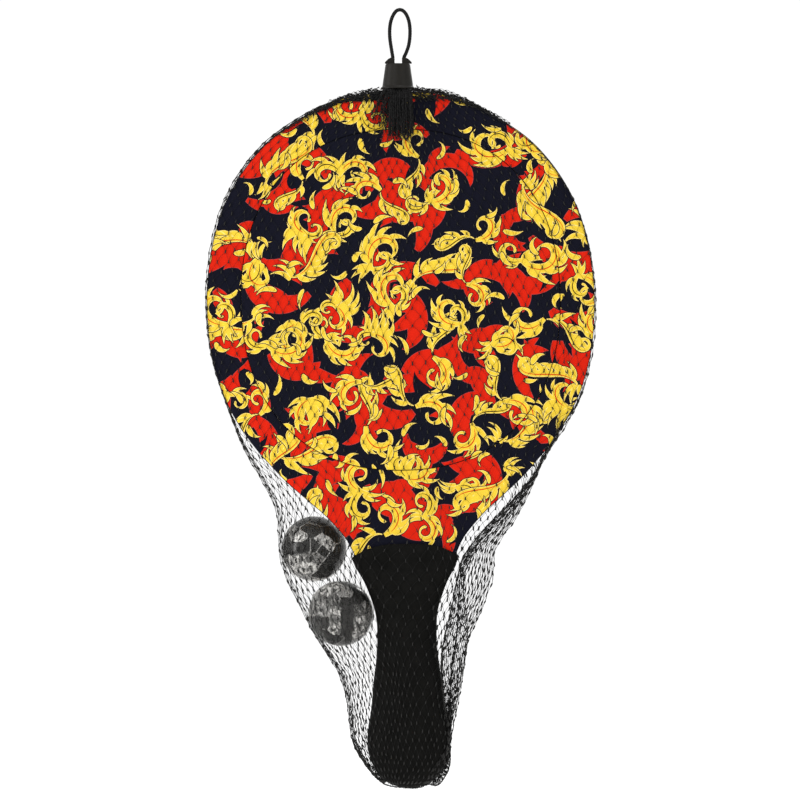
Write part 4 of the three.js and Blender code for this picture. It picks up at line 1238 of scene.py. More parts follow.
def crumpled_film(name, seed, at):
    """Film drawn tight round a ball: flat panels between straight creases, and patches crumpled into small shards; with
    how much painted reflection each point gets.
    """
    rng = np.random.default_rng(seed)
    me = bpy.data.meshes.new("ico")
    import bmesh
    bm = bmesh.new()
    bmesh.ops.create_icosphere(bm, subdivisions=7, radius=1.0)
    bm.to_mesh(me)
    bm.free()
    v = np.zeros(len(me.vertices) * 3)
    me.vertices.foreach_get("co", v)
    v = v.reshape(-1, 3)
    f = np.zeros(len(me.polygons) * 3, np.int32)
    me.polygons.foreach_get("vertices", f)
    f = f.reshape(-1, 3)
    bpy.data.meshes.remove(me)

    def unit(a):
        return a / np.linalg.norm(a, axis=-1, keepdims=True)

    def warped(amount, waves):
        out = v.copy()
        for _ in range(4):
            d, e = unit(rng.normal(size=3)), unit(rng.normal(size=3))
            out = out + amount * e * np.sin(rng.uniform(*waves) * (out @ d) + rng.uniform(0, 6.3))[:, None]
        return unit(out)

    seeds, kinds, starts = [], [], []
    for kind, *around in FILM_PATCHES[name]:
        starts.append(len(seeds))
        kinds.append(kind)
        for x, z in zip(around[::2], around[1::2]):
            seeds.append((x, -math.sqrt(max(0.02, 1 - x * x - z * z)), z))
    for d in unit(rng.normal(size=(60, 3))):
        if d[1] > 0.12:
            starts.append(len(seeds))
            seeds.append(tuple(d))
            kinds.append(rng.choice(["clear", "dull", "dull", "mixed", "mixed", "pale"]))
    seeds = unit(np.array(seeds))
    low, high, rough = np.array([FILM_KINDS[k] for k in kinds]).T
    region, other, gap = nearest_two(warped(0.01, (4, 9)), seeds, starts)
    # the shards are drawn out along one slanting way
    slant = rng.uniform(-0.7, 0.7)
    drawn = np.array([[math.cos(slant), 0, math.sin(slant)], [0, 1, 0], [-math.sin(slant) * 0.5, 0, math.cos(slant) * 0.5]])
    shards = unit(rng.normal(size=(1900, 3)))
    shard, _, shard_gap = nearest_two(unit(warped(0.02, (18, 40)) @ drawn.T), unit(shards @ drawn.T))
    # painted reflection: each shard gets its own paleness, and crumpled shards get painted highlights along some of
    # their edges and are painted darker along the others
    tone = rng.random(len(shards)) ** 1.5
    edge = np.clip(1 - shard_gap / 0.014, 0, 1)
    bright_edge = (rng.random(len(shards)) < 0.45)[shard]
    crumple = rough[region]
    painted_reflection = low[region] + (high - low)[region] * tone[shard]
    painted_reflection = np.where(crumple > 0.5, np.where(bright_edge, np.maximum(painted_reflection, 0.5 * edge * high[region] / 0.66), painted_reflection * (1 - 0.8 * edge)), painted_reflection)
    # creases between panels catch the light along part of their length
    pair = (np.maximum(region, other) * 131 + np.minimum(region, other) * 17) % 10
    glint = 0.35 + 0.65 * np.clip(0.5 + 0.9 * np.sin(v @ unit(rng.normal(size=3)) * 5.0 + pair), 0, 1)
    line = np.exp(-(gap / 0.017) ** 2) * (pair < 5) * (0.25 + 0.14 * (pair % 5)) * glint
    folds = np.array([k == "fold" for k in kinds])
    line = np.maximum(line, np.exp(-(gap / 0.02) ** 2) * (folds[region] | folds[other]))
    painted_reflection = np.maximum(painted_reflection, 0.6 * line)
    coarse = np.clip(gap / 0.12, 0, 1)
    lift = 0.4 * (1 - coarse) ** 1.3 + crumple * (0.35 * rng.random(len(shards))[shard] + 0.25 * (1 - np.clip(shard_gap / 0.05, 0, 1)))
    lift = (lift - lift.min()) / (lift.max() - lift.min())
    r = 20.22 + 0.6 * lift
    return v * r[:, None] + at, f, painted_reflection.astype(np.float32)


for name, at in BALLS.items():
    at = np.array(at)
    for part, side in (("front_half", -1), ("back_half", 1)):
        v, f = half_shell(side)
        goes(piece(f"{name}_{part}_rubber", (v + at) * MM, outward(v, f), RUBBER, sharp=50), name, "ball_rubber", f"{name}_{part}")
    v, f, painted_reflection = crumpled_film(name, 3 if name == "upper_ball" else 8, at)
    film = goes(piece(f"{name}_clear_film", v * MM, [f], FILM), name, "clear_film", f"{name}_film")
    film.data.attributes.new("painted_reflection", "FLOAT", "POINT").data.foreach_set("value", painted_reflection)

# --------------------------------------------------------------------- net

THREAD_D, KNOT_D, KNOT_L = 0.24, 0.78, 2.35
NET_LEFT = [[-235, -110.4], [-248, -105.8], [-266, -99.2], [-278, -93.4], [-290, -86.3], [-303, -79.4], [-311, -76.4], [-330, -75.4],
            [-340, -74.8], [-353, -70.5], [-366, -63.6], [-378, -57.6], [-389, -51.4], [-402, -43.0], [-410, -37.8], [-422, -34.0],
            [-432, -32.2], [-450, -30.3], [-458, -27.4], [-465.7, -22.2], [-470, -19.2], [-474, -16.2], [-477.6, -12.4], [-479.8, -8.2],
            [-480.9, -3.4], [-481.8, 1.6], [-482.4, 4.4], [-483, 5.6]]
NET_RIGHT = [[-235, 109.8], [-248, 104.4], [-266, 95.6], [-281, 87.8], [-291, 83.4], [-300.6, 79.2], [-311.5, 73.6], [-319, 69.0],
             [-331.6, 59.4], [-340, 58.2], [-351, 58.3], [-364, 53.4], [-375, 49.2], [-389, 42.3], [-398, 41.0], [-410, 39.5],
             [-423, 37.4], [-432, 35.6], [-450, 32.0], [-463, 30.8], [-470, 28.4], [-474, 24.8], [-477, 20.8], [-479.4, 16.6],
             [-481.2, 11.8], [-482.2, 8.6], [-483, 7.0]]
FOLD_RIGHT = [[-262, 97.0], [-276, 89.6], [-291, 80.6], [-300.6, 71.8], [-309, 63.8], [-316.4, 56.4], [-324.5, 49.0], [-332.3, 42.8],
              [-340, 37.9], [-350, 35.9], [-362, 33.6], [-374, 31.0], [-388, 27.6], [-398, 25.9], [-407, 25.6], [-421, 26.8],
              [-432, 28.2], [-442, 30.2], [-455, 30.5], [-483, 10.0]]
EDGE_DEPTH = [[-46, 6.3], [-235, 6.3], [-262, 4.6], [-300, 2.6], [-440, 1.9], [-470, 2.4], [-480, 1.5], [-487, 1.0]]
EDGE_MID_LEFT = [[-46, 0.0], [-240, 0.0], [-300, 8.0], [-333, 13.5], [-350, 11.5], [-373, 6.5], [-400, 2.0], [-440, 0.0], [-487, 0.0]]


def column_of(rows, z, k=1):
    rows = np.asarray(rows, float)
    return np.interp(-np.asarray(z, float), -rows[:, 0], rows[:, k])


STEP = 2.0
grid_x = np.arange(-126, 126.1, STEP)
grid_z = np.arange(-46, -488.1, -STEP)
outline_w = world_of(core_loop[:, 0], 0, core_loop[:, 1])[:, [0, 2]] / MM


def blade_edges(z):
    """Left and right edge of the blade and grip at world heights."""
    z = np.asarray(z, float)
    xc = np.array([local_of(0.0, v)[0] for v in z])
    zl = np.array([local_of(0.0, v)[1] for v in z])
    w = np.where(zl > BLADE_TOP, 0.0, np.where(zl < -303.1, 0.0, blade_half(np.clip(zl, -303.1, BLADE_TOP))))
    rows = np.array(GRIP_ROWS)
    g = np.where(zl < -160, np.interp(-zl, -rows[:, 0], rows[:, 1], left=MOUTH_HALF, right=0.0), 0.0)
    g = np.where(zl < -308.5, 0.0, g)
    w = np.maximum(w, g)
    return -xc - w, -xc + w


# the racket's own axis leans, so a height's centre is found from its tilt
def net_edges(z):
    left, right = blade_edges(z)
    left, right = left - 0.75, right + 0.75
    low = np.asarray(z) < -235
    nl, nr = column_of(NET_LEFT, z), column_of(NET_RIGHT, z)
    return np.where(low, np.minimum(left, nl), left), np.where(low, np.maximum(right, nr), right)


edge_l, edge_r = net_edges(grid_z)
X, Z = np.meshgrid(grid_x, grid_z)
xl_, zl_ = local_of(X, Z)
in_blade = inside(pad_loop, np.stack([xl_.ravel(), zl_.ravel()], 1)).reshape(X.shape)
rows_ = np.array(GRIP_ROWS)
ga = np.interp(-zl_, -rows_[:, 0], rows_[:, 1], left=MOUTH_HALF)
gb = np.interp(-zl_, -rows_[:, 0], rows_[:, 2], left=MOUTH_THICK)
gp = np.interp(-zl_, -rows_[:, 0], rows_[:, 3], left=MOUTH_POWER)
in_grip = (zl_ < MOUTH_TOP - MOUTH_DROP * np.minimum(1, np.abs(xl_) / MOUTH_HALF) ** 3) & (zl_ > -308.4) & (np.abs(xl_) < ga)
grip_y = gb * np.maximum(0, 1 - np.minimum(1, np.abs(xl_) / ga) ** gp) ** (1 / gp)
LIFT = 0.5
lowest = -60.0
solid_front = np.full(X.shape, lowest)
solid_front[in_blade] = PAD_OUT + LIFT
solid_front = np.where(in_grip, np.maximum(solid_front, grip_y + LIFT), solid_front)
solid_back = solid_front.copy()
for cx, cy, cz in BALLS.values():
    r2 = (X - cx) ** 2 + (Z - cz) ** 2
    h = np.sqrt(np.maximum(0, 21.15 ** 2 - r2))
    near_ball = r2 < 20.9 ** 2
    solid_front = np.where(near_ball, np.maximum(solid_front, h - cy + LIFT), solid_front)
    solid_back = np.where(near_ball, np.maximum(solid_back, h + cy + LIFT), solid_back)
inner_cells = (X > edge_l[:, None] + 0.5) & (X < edge_r[:, None] - 0.5)
depth = column_of(EDGE_DEPTH, grid_z)
mid_l = column_of(EDGE_MID_LEFT, grid_z)
width = np.maximum(1.0, edge_r - edge_l)
share = np.clip((X - edge_l[:, None]) / width[:, None], 0, 1)
mid = mid_l[:, None] * (1 - share)


def membrane(solid, border):
    h = np.where(inner_cells, np.maximum(solid, border), border)
    for _ in range(700):
        up = np.vstack([h[:1], h[:-1]])
        down = np.vstack([h[1:], h[-1:]])
        side = (np.hstack([h[:, :1], h[:, :-1]]) + np.hstack([h[:, 1:], h[:, -1:]]))
        mean = (up + down + 1.6 * side) / 5.2
        h = np.where(inner_cells, np.maximum(solid, mean), border)
    return h


front_h = membrane(solid_front, depth[:, None] - mid)
back_h = membrane(solid_back, depth[:, None] + mid)


def height_at(h, x, z):
    fx = np.clip((x - grid_x[0]) / STEP, 0, len(grid_x) - 1.001)
    fz = np.clip((grid_z[0] - z) / STEP, 0, len(grid_z) - 1.001)
    i, j = fz.astype(int), fx.astype(int)
    a, b = fz - i, fx - j
    return (h[i, j] * (1 - a) * (1 - b) + h[i + 1, j] * a * (1 - b) + h[i, j + 1] * (1 - a) * b + h[i + 1, j + 1] * a * b)


COLUMNS = 78
# how many columns lie between the front's middle column and each edge; the others pass round to the back
FRONT_LEFT = [[-46, 19.5], [-240, 19.5], [-300, 18.4], [-365, 17.0], [-400, 15.6], [-440, 14.0], [-483, 12.0]]
FRONT_RIGHT = [[-46, 19.5], [-240, 19.5], [-300, 19.4], [-365, 18.6], [-400, 17.4], [-440, 15.4], [-483, 13.5]]
PLAIN_SPACING = [[-46, 6.3], [-240, 6.3], [-300, 6.6], [-340, 7.1], [-362, 7.0], [-385, 5.7], [-410, 4.5], [-430, 3.9], [-470, 3.6], [-483, 1.6]]
BACK_SPACING = [[-46, 6.3], [-260, 6.3], [-320, 5.2], [-362, 4.6], [-410, 3.0], [-470, 2.6], [-483, 1.4]]
SIDE_SPACING = [[-46, 6.3], [-250, 6.3], [-300, 5.7], [-340, 4.4], [-380, 3.7], [-430, 3.0], [-470, 2.8], [-483, 1.4]]
GAP_SPACING = [[-46, 6.3], [-300, 6.4], [-345, 5.4], [-378, 4.4], [-395, 2.6], [-483, 2.2]]
# the right border of the gathered pleat beside the handle; past it the net is a plain double layer again
PLEAT_RIGHT = [[-262, 99.0], [-291, 83.4], [-309, 71.0], [-316, 64.5], [-324.5, 57.5], [-332, 50.0], [-340, 43.0], [-352, 38.6],
               [-367, 40.2], [-378, 41.8], [-389, 42.0], [-400, 40.2], [-418, 36.6], [-431, 33.4], [-445, 30.8], [-470, 27.0], [-483, 9.0]]


def net_section(z, count=780):
    """The net's closed line at one height, as count points evenly spread in share of its columns. It begins at the front's
    middle column and goes to the right edge, over the back to the left edge, and over the front again."""
    (l,), (r,) = net_edges(np.array([z]))
    (bl,), (br,) = blade_edges(np.array([z]))
    e = float(column_of(EDGE_DEPTH, z))
    top = float(np.clip((z + 135) / 70, 0, 1))
    slack = float(np.clip((-250 - z) / 30, 0, 1) * np.clip((z + 478) / 24, 0, 1))
    fold = float(column_of(FOLD_RIGHT, z))
    room = max(0.0, r - fold)
    plain, beside = float(column_of(PLAIN_SPACING, z)), float(column_of(SIDE_SPACING, z))
    middle = float(np.clip((l + r) / 2 * 0.25, -6, 6)) if z > -440 else 1.0

    pleat = min(r, max(fold + 1.0, float(column_of(PLEAT_RIGHT, z))))
    behind = float(column_of(BACK_SPACING, z))
    gap_ = float(column_of(GAP_SPACING, z))

    def spacing(x, layer):
        s = np.where((x > bl - 1) & (x < br + 0.6), plain if layer == "front" else behind, beside)
        s = np.where((x >= br + 0.6) & (x < fold), gap_, s)
        return s - (s - 2.5) * top * np.exp(-((x + 1) / 30.0) ** 2)

    def over(x, layer, off):
        n = np.full(len(x), z)
        return (-height_at(front_h, x, n) - off) if layer == "front" else (height_at(back_h, x, n) + off)

    def quarter(layer, edge, way, columns):
        """From the middle column to one edge: the points and each one's column count from the middle. The columns that don't
        fit at their own spacing are gathered in the pleat and round the edge."""
        folded = way > 0 and slack > 0.02 and room > 1.0
        stop = fold if folded else edge - way * (0.6 + 2.2 * slack)
        n = 60
        x = np.linspace(middle, stop, n)
        y = over(x, layer, 0.0)
        step = np.hypot(np.diff(x), np.diff(y)) / ((spacing(x[1:], layer) + spacing(x[:-1], layer)) / 2)
        at = np.concatenate([[0], np.cumsum(step)])
        left = 5.0 if folded else 1.0
        if at[-1] > columns - left:
            at *= (columns - left) / at[-1]
        elif not folded and z < -250:
            # no more than this many are gathered at the edge; the rest lie closer together
            most = 3.6
            ease = min(1.0, (-250 - z) / 40)
            if columns - at[-1] > most:
                at *= 1 + ease * ((columns - most) / at[-1] - 1)
        rest = columns - at[-1]
        # legs of (where to, how far off the layer below, share of the gathered columns, columns of its own)
        if folded:
            plain_part = min(0.56 * rest, (edge - pleat) / (2.2 if layer == "front" else 1.7))
            pins = min(0.4, 4.2 / rest) if layer == "front" else min(0.3, 3.0 / rest)
            legs = ([(pleat, 0.5, 1.0, 0.0), (pleat + 0.3, 0.8, 0.0, pins * rest * 0.3), (fold, 1.2, 1.0, 0.0),
                     (fold - 0.5, 1.5, 0.0, pins * rest * 0.7), (pleat, 1.9, 1.0, 0.0), (edge, 0.4, 0.0, plain_part)]
                    if layer == "front" else
                    [(fold + 0.6, 0.4, 0.0, pins * rest * 0.6), (0.45 * fold + 0.55 * pleat, 0.7, 1.0, 0.0),
                     (0.5 * fold + 0.5 * pleat, 0.9, 0.0, pins * rest * 0.4), (pleat, 1.0, 1.0, 0.0), (edge, 0.3, 0.0, plain_part)])
        else:
            legs = [(edge, 0.0, 1.0, 0.0)]
        free = rest - sum(leg[3] for leg in legs) - 0.3
        runs = [abs(b - a) * leg[2] for a, b, leg in zip([stop] + [leg[0] for leg in legs], [leg[0] for leg in legs], legs)]
        line, gain = [(x[-1], y[-1])], [at[-1]]
        start = stop
        for leg, run in zip(legs, runs):
            target, off, _, own = leg
            xs = np.linspace(start, target, 13)[1:]
            ys = over(xs, layer, off * slack if folded else off)
            add = own + (free * run / sum(runs) if sum(runs) > 0 else 0.0)
            for k in range(12):
                line.append((xs[k], ys[k]))
                gain.append(gain[-1] + add / 12)
            start = target
        mid_y = float(column_of(EDGE_MID_LEFT, z)) if way < 0 else 0.0
        y_end = line[-1][1]
        turn = max(0.0, columns - gain[-1])
        for t in np.linspace(0, 1, 6)[1:]:
            line.append((edge + way * 0.25 * math.sin(math.pi / 2 * t), y_end + (mid_y - y_end) * t))
            gain.append(gain[-1] + turn / 5)
        return np.vstack([np.stack([x, y], 1), np.array(line[1:])]), np.concatenate([at, gain[1:]])

    nr, nl = float(column_of(FRONT_RIGHT, z)), float(column_of(FRONT_LEFT, z))
    half_ = COLUMNS / 2
    right_ = half_ + 4.5 * float(np.clip((-250 - z) / 50, 0, 1) * np.clip((z + 482) / 20, 0, 1))
    p1, c1 = quarter("front", r, 1, nr)
    p2, c2 = quarter("back", r, 1, right_ - nr)
    p3, c3 = quarter("back", l, -1, COLUMNS - right_ - nl)
    p4, c4 = quarter("front", l, -1, nl)
    pts = np.vstack([p1, p2[-2::-1], p3[1:], p4[-2::-1]])
    at = np.concatenate([c1, right_ - c2[-2::-1], right_ + c3[1:], COLUMNS - c4[-2::-1]])
    at = np.maximum.accumulate(at + np.arange(len(at)) * 1e-9)
    u = np.linspace(0, COLUMNS, count, endpoint=False)
    return np.stack([np.interp(u, at, pts[:, 0]), np.interp(u, at, pts[:, 1])], 1)


Z_STEP = 1.5
table_z = np.arange(-50.2, -482.9, -Z_STEP)
table = np.array([net_section(z) for z in table_z])
U_COUNT = table.shape[1]
# the column direction is kept smooth from row to row
shift = table.copy()
for _ in range(9):
    shift[1:-1] = 0.5 * shift[1:-1] + 0.25 * (shift[:-2] + shift[2:])
table = shift


def on_net(u, z):
    """Points (x, y, z) of the net's surface at column share u (turns) and height z."""
    fz = np.clip((table_z[0] - z) / Z_STEP, 0, len(table_z) - 1.001)
    fu = (np.asarray(u) % 1.0) * U_COUNT
    i, j = fz.astype(int), np.minimum(fu.astype(int), U_COUNT - 1)
    a, b = (fz - i)[..., None], (fu - j)[..., None]
    k = (j + 1) % U_COUNT
    xy = table[i, j] * (1 - a) * (1 - b) + table[i + 1, j] * a * (1 - b) + table[i, k] * (1 - a) * b + table[i + 1, k] * a * b
    return np.concatenate([xy, np.asarray(z)[..., None]], -1)


rng_net = np.random.default_rng(20)
row_z = [-55.5]
while row_z[-1] > -478.5:
    z = row_z[-1]
    row_z.append(z - float(np.interp(-z, [55, 80, 120, 230, 330, 420, 470, 480], [3.6, 4.6, 5.7, 5.9, 6.1, 6.0, 4.2, 3.0])))
row_z = np.array(row_z[:-1])
ROWS = len(row_z)
row_i, col_i = np.meshgrid(np.arange(ROWS), np.arange(COLUMNS), indexing="ij")


def slow_noise(seed, u, z, scale_u, scale_z):
    """A smooth wandering between -1 and 1 over the net, whole round its girth."""
    g = np.random.default_rng(seed)
    out = np.zeros_like(u)
    for _ in range(7):
        n = g.integers(1, scale_u + 1)
        out = out + np.sin(2 * math.pi * n * u + g.uniform(0, 6.3)) * np.cos(z / scale_z * g.uniform(0.5, 1.6) + g.uniform(0, 6.3))
    return out / 3.0


node_u = (col_i + 0.5 * (row_i % 2)) / COLUMNS
node_z = row_z[row_i] * 1.0
flat_x = on_net(node_u, node_z)[..., 0]
arch = 0.075 * (np.sqrt(flat_x ** 2 + 30 ** 2) - 30) * np.clip((node_z + 500) / 150, 0, 1) * np.clip((-55 - node_z) / 50, 0.15, 1)
calm = np.clip((-60 - node_z) / 30, 0, 1) * np.clip((node_z + 480) / 20, 0, 1)
loose = np.clip((-240 - node_z) / 60, 0, 1)
node_u = node_u + (0.62 * slow_noise(4, node_u, node_z, 9, 34.0) + rng_net.normal(0, 0.075, node_u.shape)) * calm / COLUMNS
node_z = node_z - arch + (1.2 + 1.2 * loose) * slow_noise(9, node_u, node_z, 12, 26.0) * calm + rng_net.normal(0, 0.32, node_u.shape) * (0.3 + 0.7 * calm)
node_z = np.clip(node_z, -482.0, -51.5)
beside_ = on_net(node_u, node_z)
pitch = np.linalg.norm(np.roll(beside_, -1, 1)[..., :2] - beside_[..., :2], axis=-1)
crowd = np.clip((4.4 - pitch) / 2.4, 0, 1) * loose * calm
node_z = node_z + crowd * (rng_net.normal(0, 0.8, node_z.shape) + 2.3 * slow_noise(31, node_u, node_z, 42, 18.0))
node_z = np.clip(node_z, -482.0, -51.5)


FILM_OUT = 20.88  # the balls turn inside this


def off_balls(points, radius):
    """Centre lines moved straight out where they would run through a ball, so that the thread lies on its film."""
    least = FILM_OUT + radius[..., None]
    for centre in BALLS.values():
        d = points - np.array(centre)
        r = np.linalg.norm(d, axis=-1, keepdims=True)
        points = np.where(r < least, np.array(centre) + d * (least / np.maximum(r, 1e-9)), points)
    return points


def off_grip(points, radius):
    """The same at the grip's butt, which narrows faster than the net closes."""
    rows = np.array(GRIP_ROWS)
    lx, lz = local_of(points[..., 0], points[..., 2])
    a, b, p = (np.interp(-lz, -rows[:, 0], rows[:, k]) for k in (1, 2, 3))
    a, b = a + radius + 0.12, b + radius + 0.12
    f = ((np.abs(lx) / a) ** p + (np.abs(points[..., 1]) / b) ** p) ** (1 / p)
    grow = np.where((lz < -235) & (lz > -306.5) & (f < 1), 1 / np.maximum(f, 0.5), 1.0)
    shift = lx * (grow - 1)
    return np.stack([points[..., 0] + shift * math.cos(TILT), points[..., 1] * grow, points[..., 2] - shift * math.sin(TILT)], -1)


def tubes(points, radius, sides):
    """Closed tubes along many lines of equal count: points is (lines, count, 3), radius (lines,) or (lines, count)."""
    m, k, _ = points.shape
    radius = np.broadcast_to(np.asarray(radius, float).reshape(m, -1) if np.ndim(radius) else np.full((m, 1), float(radius)), (m, k))
    points = off_grip(off_balls(points, radius), radius)
    t = np.gradient(points, axis=1)
    t /= np.maximum(1e-9, np.linalg.norm(t, axis=2))[..., None]
    ref = np.where(np.abs(t[:, :1, 1:2]) < 0.8, np.array([0.0, 1.0, 0.0]), np.array([1.0, 0.0, 0.0]))
    ref = np.broadcast_to(ref, t.shape)
    a = np.cross(t, ref)
    a /= np.maximum(1e-9, np.linalg.norm(a, axis=2))[..., None]
    b = np.cross(t, a)
    ang = 2 * math.pi * np.arange(sides) / sides + math.pi / 4
    ring = (points[:, :, None] + radius[..., None, None] * (np.cos(ang)[:, None] * a[:, :, None] + np.sin(ang)[:, None] * b[:, :, None]))
    verts = ring.reshape(-1, 3)
    base = (np.arange(m) * k * sides)[:, None, None]
    i = np.arange(sides)
    j = (i + 1) % sides
    r = (np.arange(k - 1) * sides)[:, None]
    quad = np.stack([np.broadcast_to(r + i, (k - 1, sides)), r + j, r + sides + j, r + sides + i], 2).reshape(1, -1, 4)
    quads = (base + quad).reshape(-1, 4)
    caps = np.concatenate([(base[:, :, 0] + i[::-1][None]), (base[:, :, 0] + (k - 1) * sides + i[None])])
    return verts, quads, caps


def joined(parts):
    """One list of points and faces from several (verts, quads, caps)."""
    verts, faces, base = [], {}, 0
    for v, *blocks in parts:
        verts.append(v)
        for block in blocks:
            faces.setdefault(block.shape[1], []).append(block + base)
        base += len(v)
    return np.vstack(verts), [np.vstack(b).astype(np.int32) for b in faces.values()]


def knots(at, way, length, wide, seed):
    """Small spindles at points, along ways; each is a little different."""
    g = np.random.default_rng(seed)
    way = way / np.maximum(1e-9, np.linalg.norm(way, axis=1))[:, None]
    way = way + g.normal(0, 0.13, way.shape)
    way /= np.linalg.norm(way, axis=1)[:, None]
    n = len(at)
    length, wide = np.broadcast_to(length, n), np.broadcast_to(wide, n)
    length = length * g.uniform(0.8, 1.2, n)
    s = np.array([-0.5, -0.26, 0.2, 0.5])
    pts = at[:, None] + s[None, :, None] * length[:, None, None] * way[:, None]
    r = (wide / 2 * g.uniform(0.85, 1.15, n))[:, None] * np.array([0.36, 0.92, 1.0, 0.34])[None]
    return tubes(pts, r, 5)


def thread_lines(ra, ca, rb, cb, steps=5):
    """Points on the net's surface from node (ra, ca) to node (rb, cb)."""
    u0, z0 = node_u[ra, ca % COLUMNS], node_z[ra, ca % COLUMNS]
    u1, z1 = node_u[rb, cb % COLUMNS], node_z[rb, cb % COLUMNS]
    d = (u1 - u0 + 0.5) % 1.0 - 0.5
    t = np.linspace(0, 1, steps)
    u = u0[:, None] + d[:, None] * t
    z = z0[:, None] + (z1 - z0)[:, None] * t
    # real threads bow a little between their knots
    bow = 0.35 * np.sin(math.pi * t)[None] * d[:, None]
    return on_net(u + bow * 0.35, z)


def thickness(points):
    """Threads pulled taut over the racket are thinner than slack ones."""
    lx, lz = local_of(points[:, 0], points[:, 2])
    on_face = np.abs(lx) < blade_half(np.clip(lz, -303.1, BLADE_TOP)) - 0.5
    return np.where(on_face & (lz > -160), 0.74, np.where(on_face, 0.95, np.where(points[:, 0] > 0, 1.3, 1.18)))


def thread_piece(name, parts, node, knot_highlight=1.0):
    """A net piece from tubes; its last tubes are knots, which are marked for a painted highlight that paints them
    lighter.
    """
    v, f = joined(parts)
    o = goes(piece(name, v * MM, f, THREAD), "racket_in_net", "net_thread", node)
    mark = np.zeros(len(v), np.float32)
    if knot_highlight:
        mark[len(v) - len(parts[-1][0]):] = knot_highlight
    o.data.attributes.new("knot_glint", "FLOAT", "POINT").data.foreach_set("value", mark)
    return o


def net_piece(name, first, last, node):
    r, c = np.meshgrid(np.arange(first, last), np.arange(COLUMNS), indexing="ij")
    r, c = r.ravel(), c.ravel()
    inner = r < ROWS - 1
    odd = r % 2
    left_c, right_c = c - 1 + odd, c + odd
    parts = []
    for other in (left_c, right_c):
        lines = thread_lines(r[inner], c[inner], r[inner] + 1, other[inner])
        parts.append(tubes(lines, thickness(lines[:, 2]) * THREAD_D / 2, 4))
    at = on_net(node_u[r, c], node_z[r, c])
    up = on_net(node_u[r, c], node_z[r, c] + 1.5)
    down = on_net(node_u[r, c], node_z[r, c] - 1.5)
    size = np.maximum(1.0, thickness(at))
    parts.append(knots(at, up - down, KNOT_L * size, KNOT_D * size, first + 77))
    return thread_piece(name, parts, node)


cuts = np.linspace(0, ROWS, 6).astype(int)
for k in range(5):
    net_piece(f"net_rows_{k + 1}", cuts[k], cuts[k + 1], "net_bag")

# --------------------------------------- the net's gathered top and its end

rng_top = np.random.default_rng(41)
rim_line = outline_w[(outline_w[:, 1] > -110)]
rim_line = rim_line[np.argsort(rim_line[:, 0])]


def rim_z(x):
    return np.interp(x, rim_line[:, 0], rim_line[:, 1])


def zigzag(line, pitch, swing, phase):
    """A line with the small sideways steps that a pulled net thread keeps, at each of its knots."""
    d = np.concatenate([[0], np.cumsum(np.linalg.norm(np.diff(line, axis=0), axis=1))])
    t = np.gradient(line, axis=0)
    t /= np.maximum(1e-9, np.linalg.norm(t, axis=1))[:, None]
    side = np.stack([-t[:, 2], np.zeros(len(t)), t[:, 0]], 1)
    k = (d + phase) / pitch * math.pi
    return line + swing * np.sin(k)[:, None] * side, d


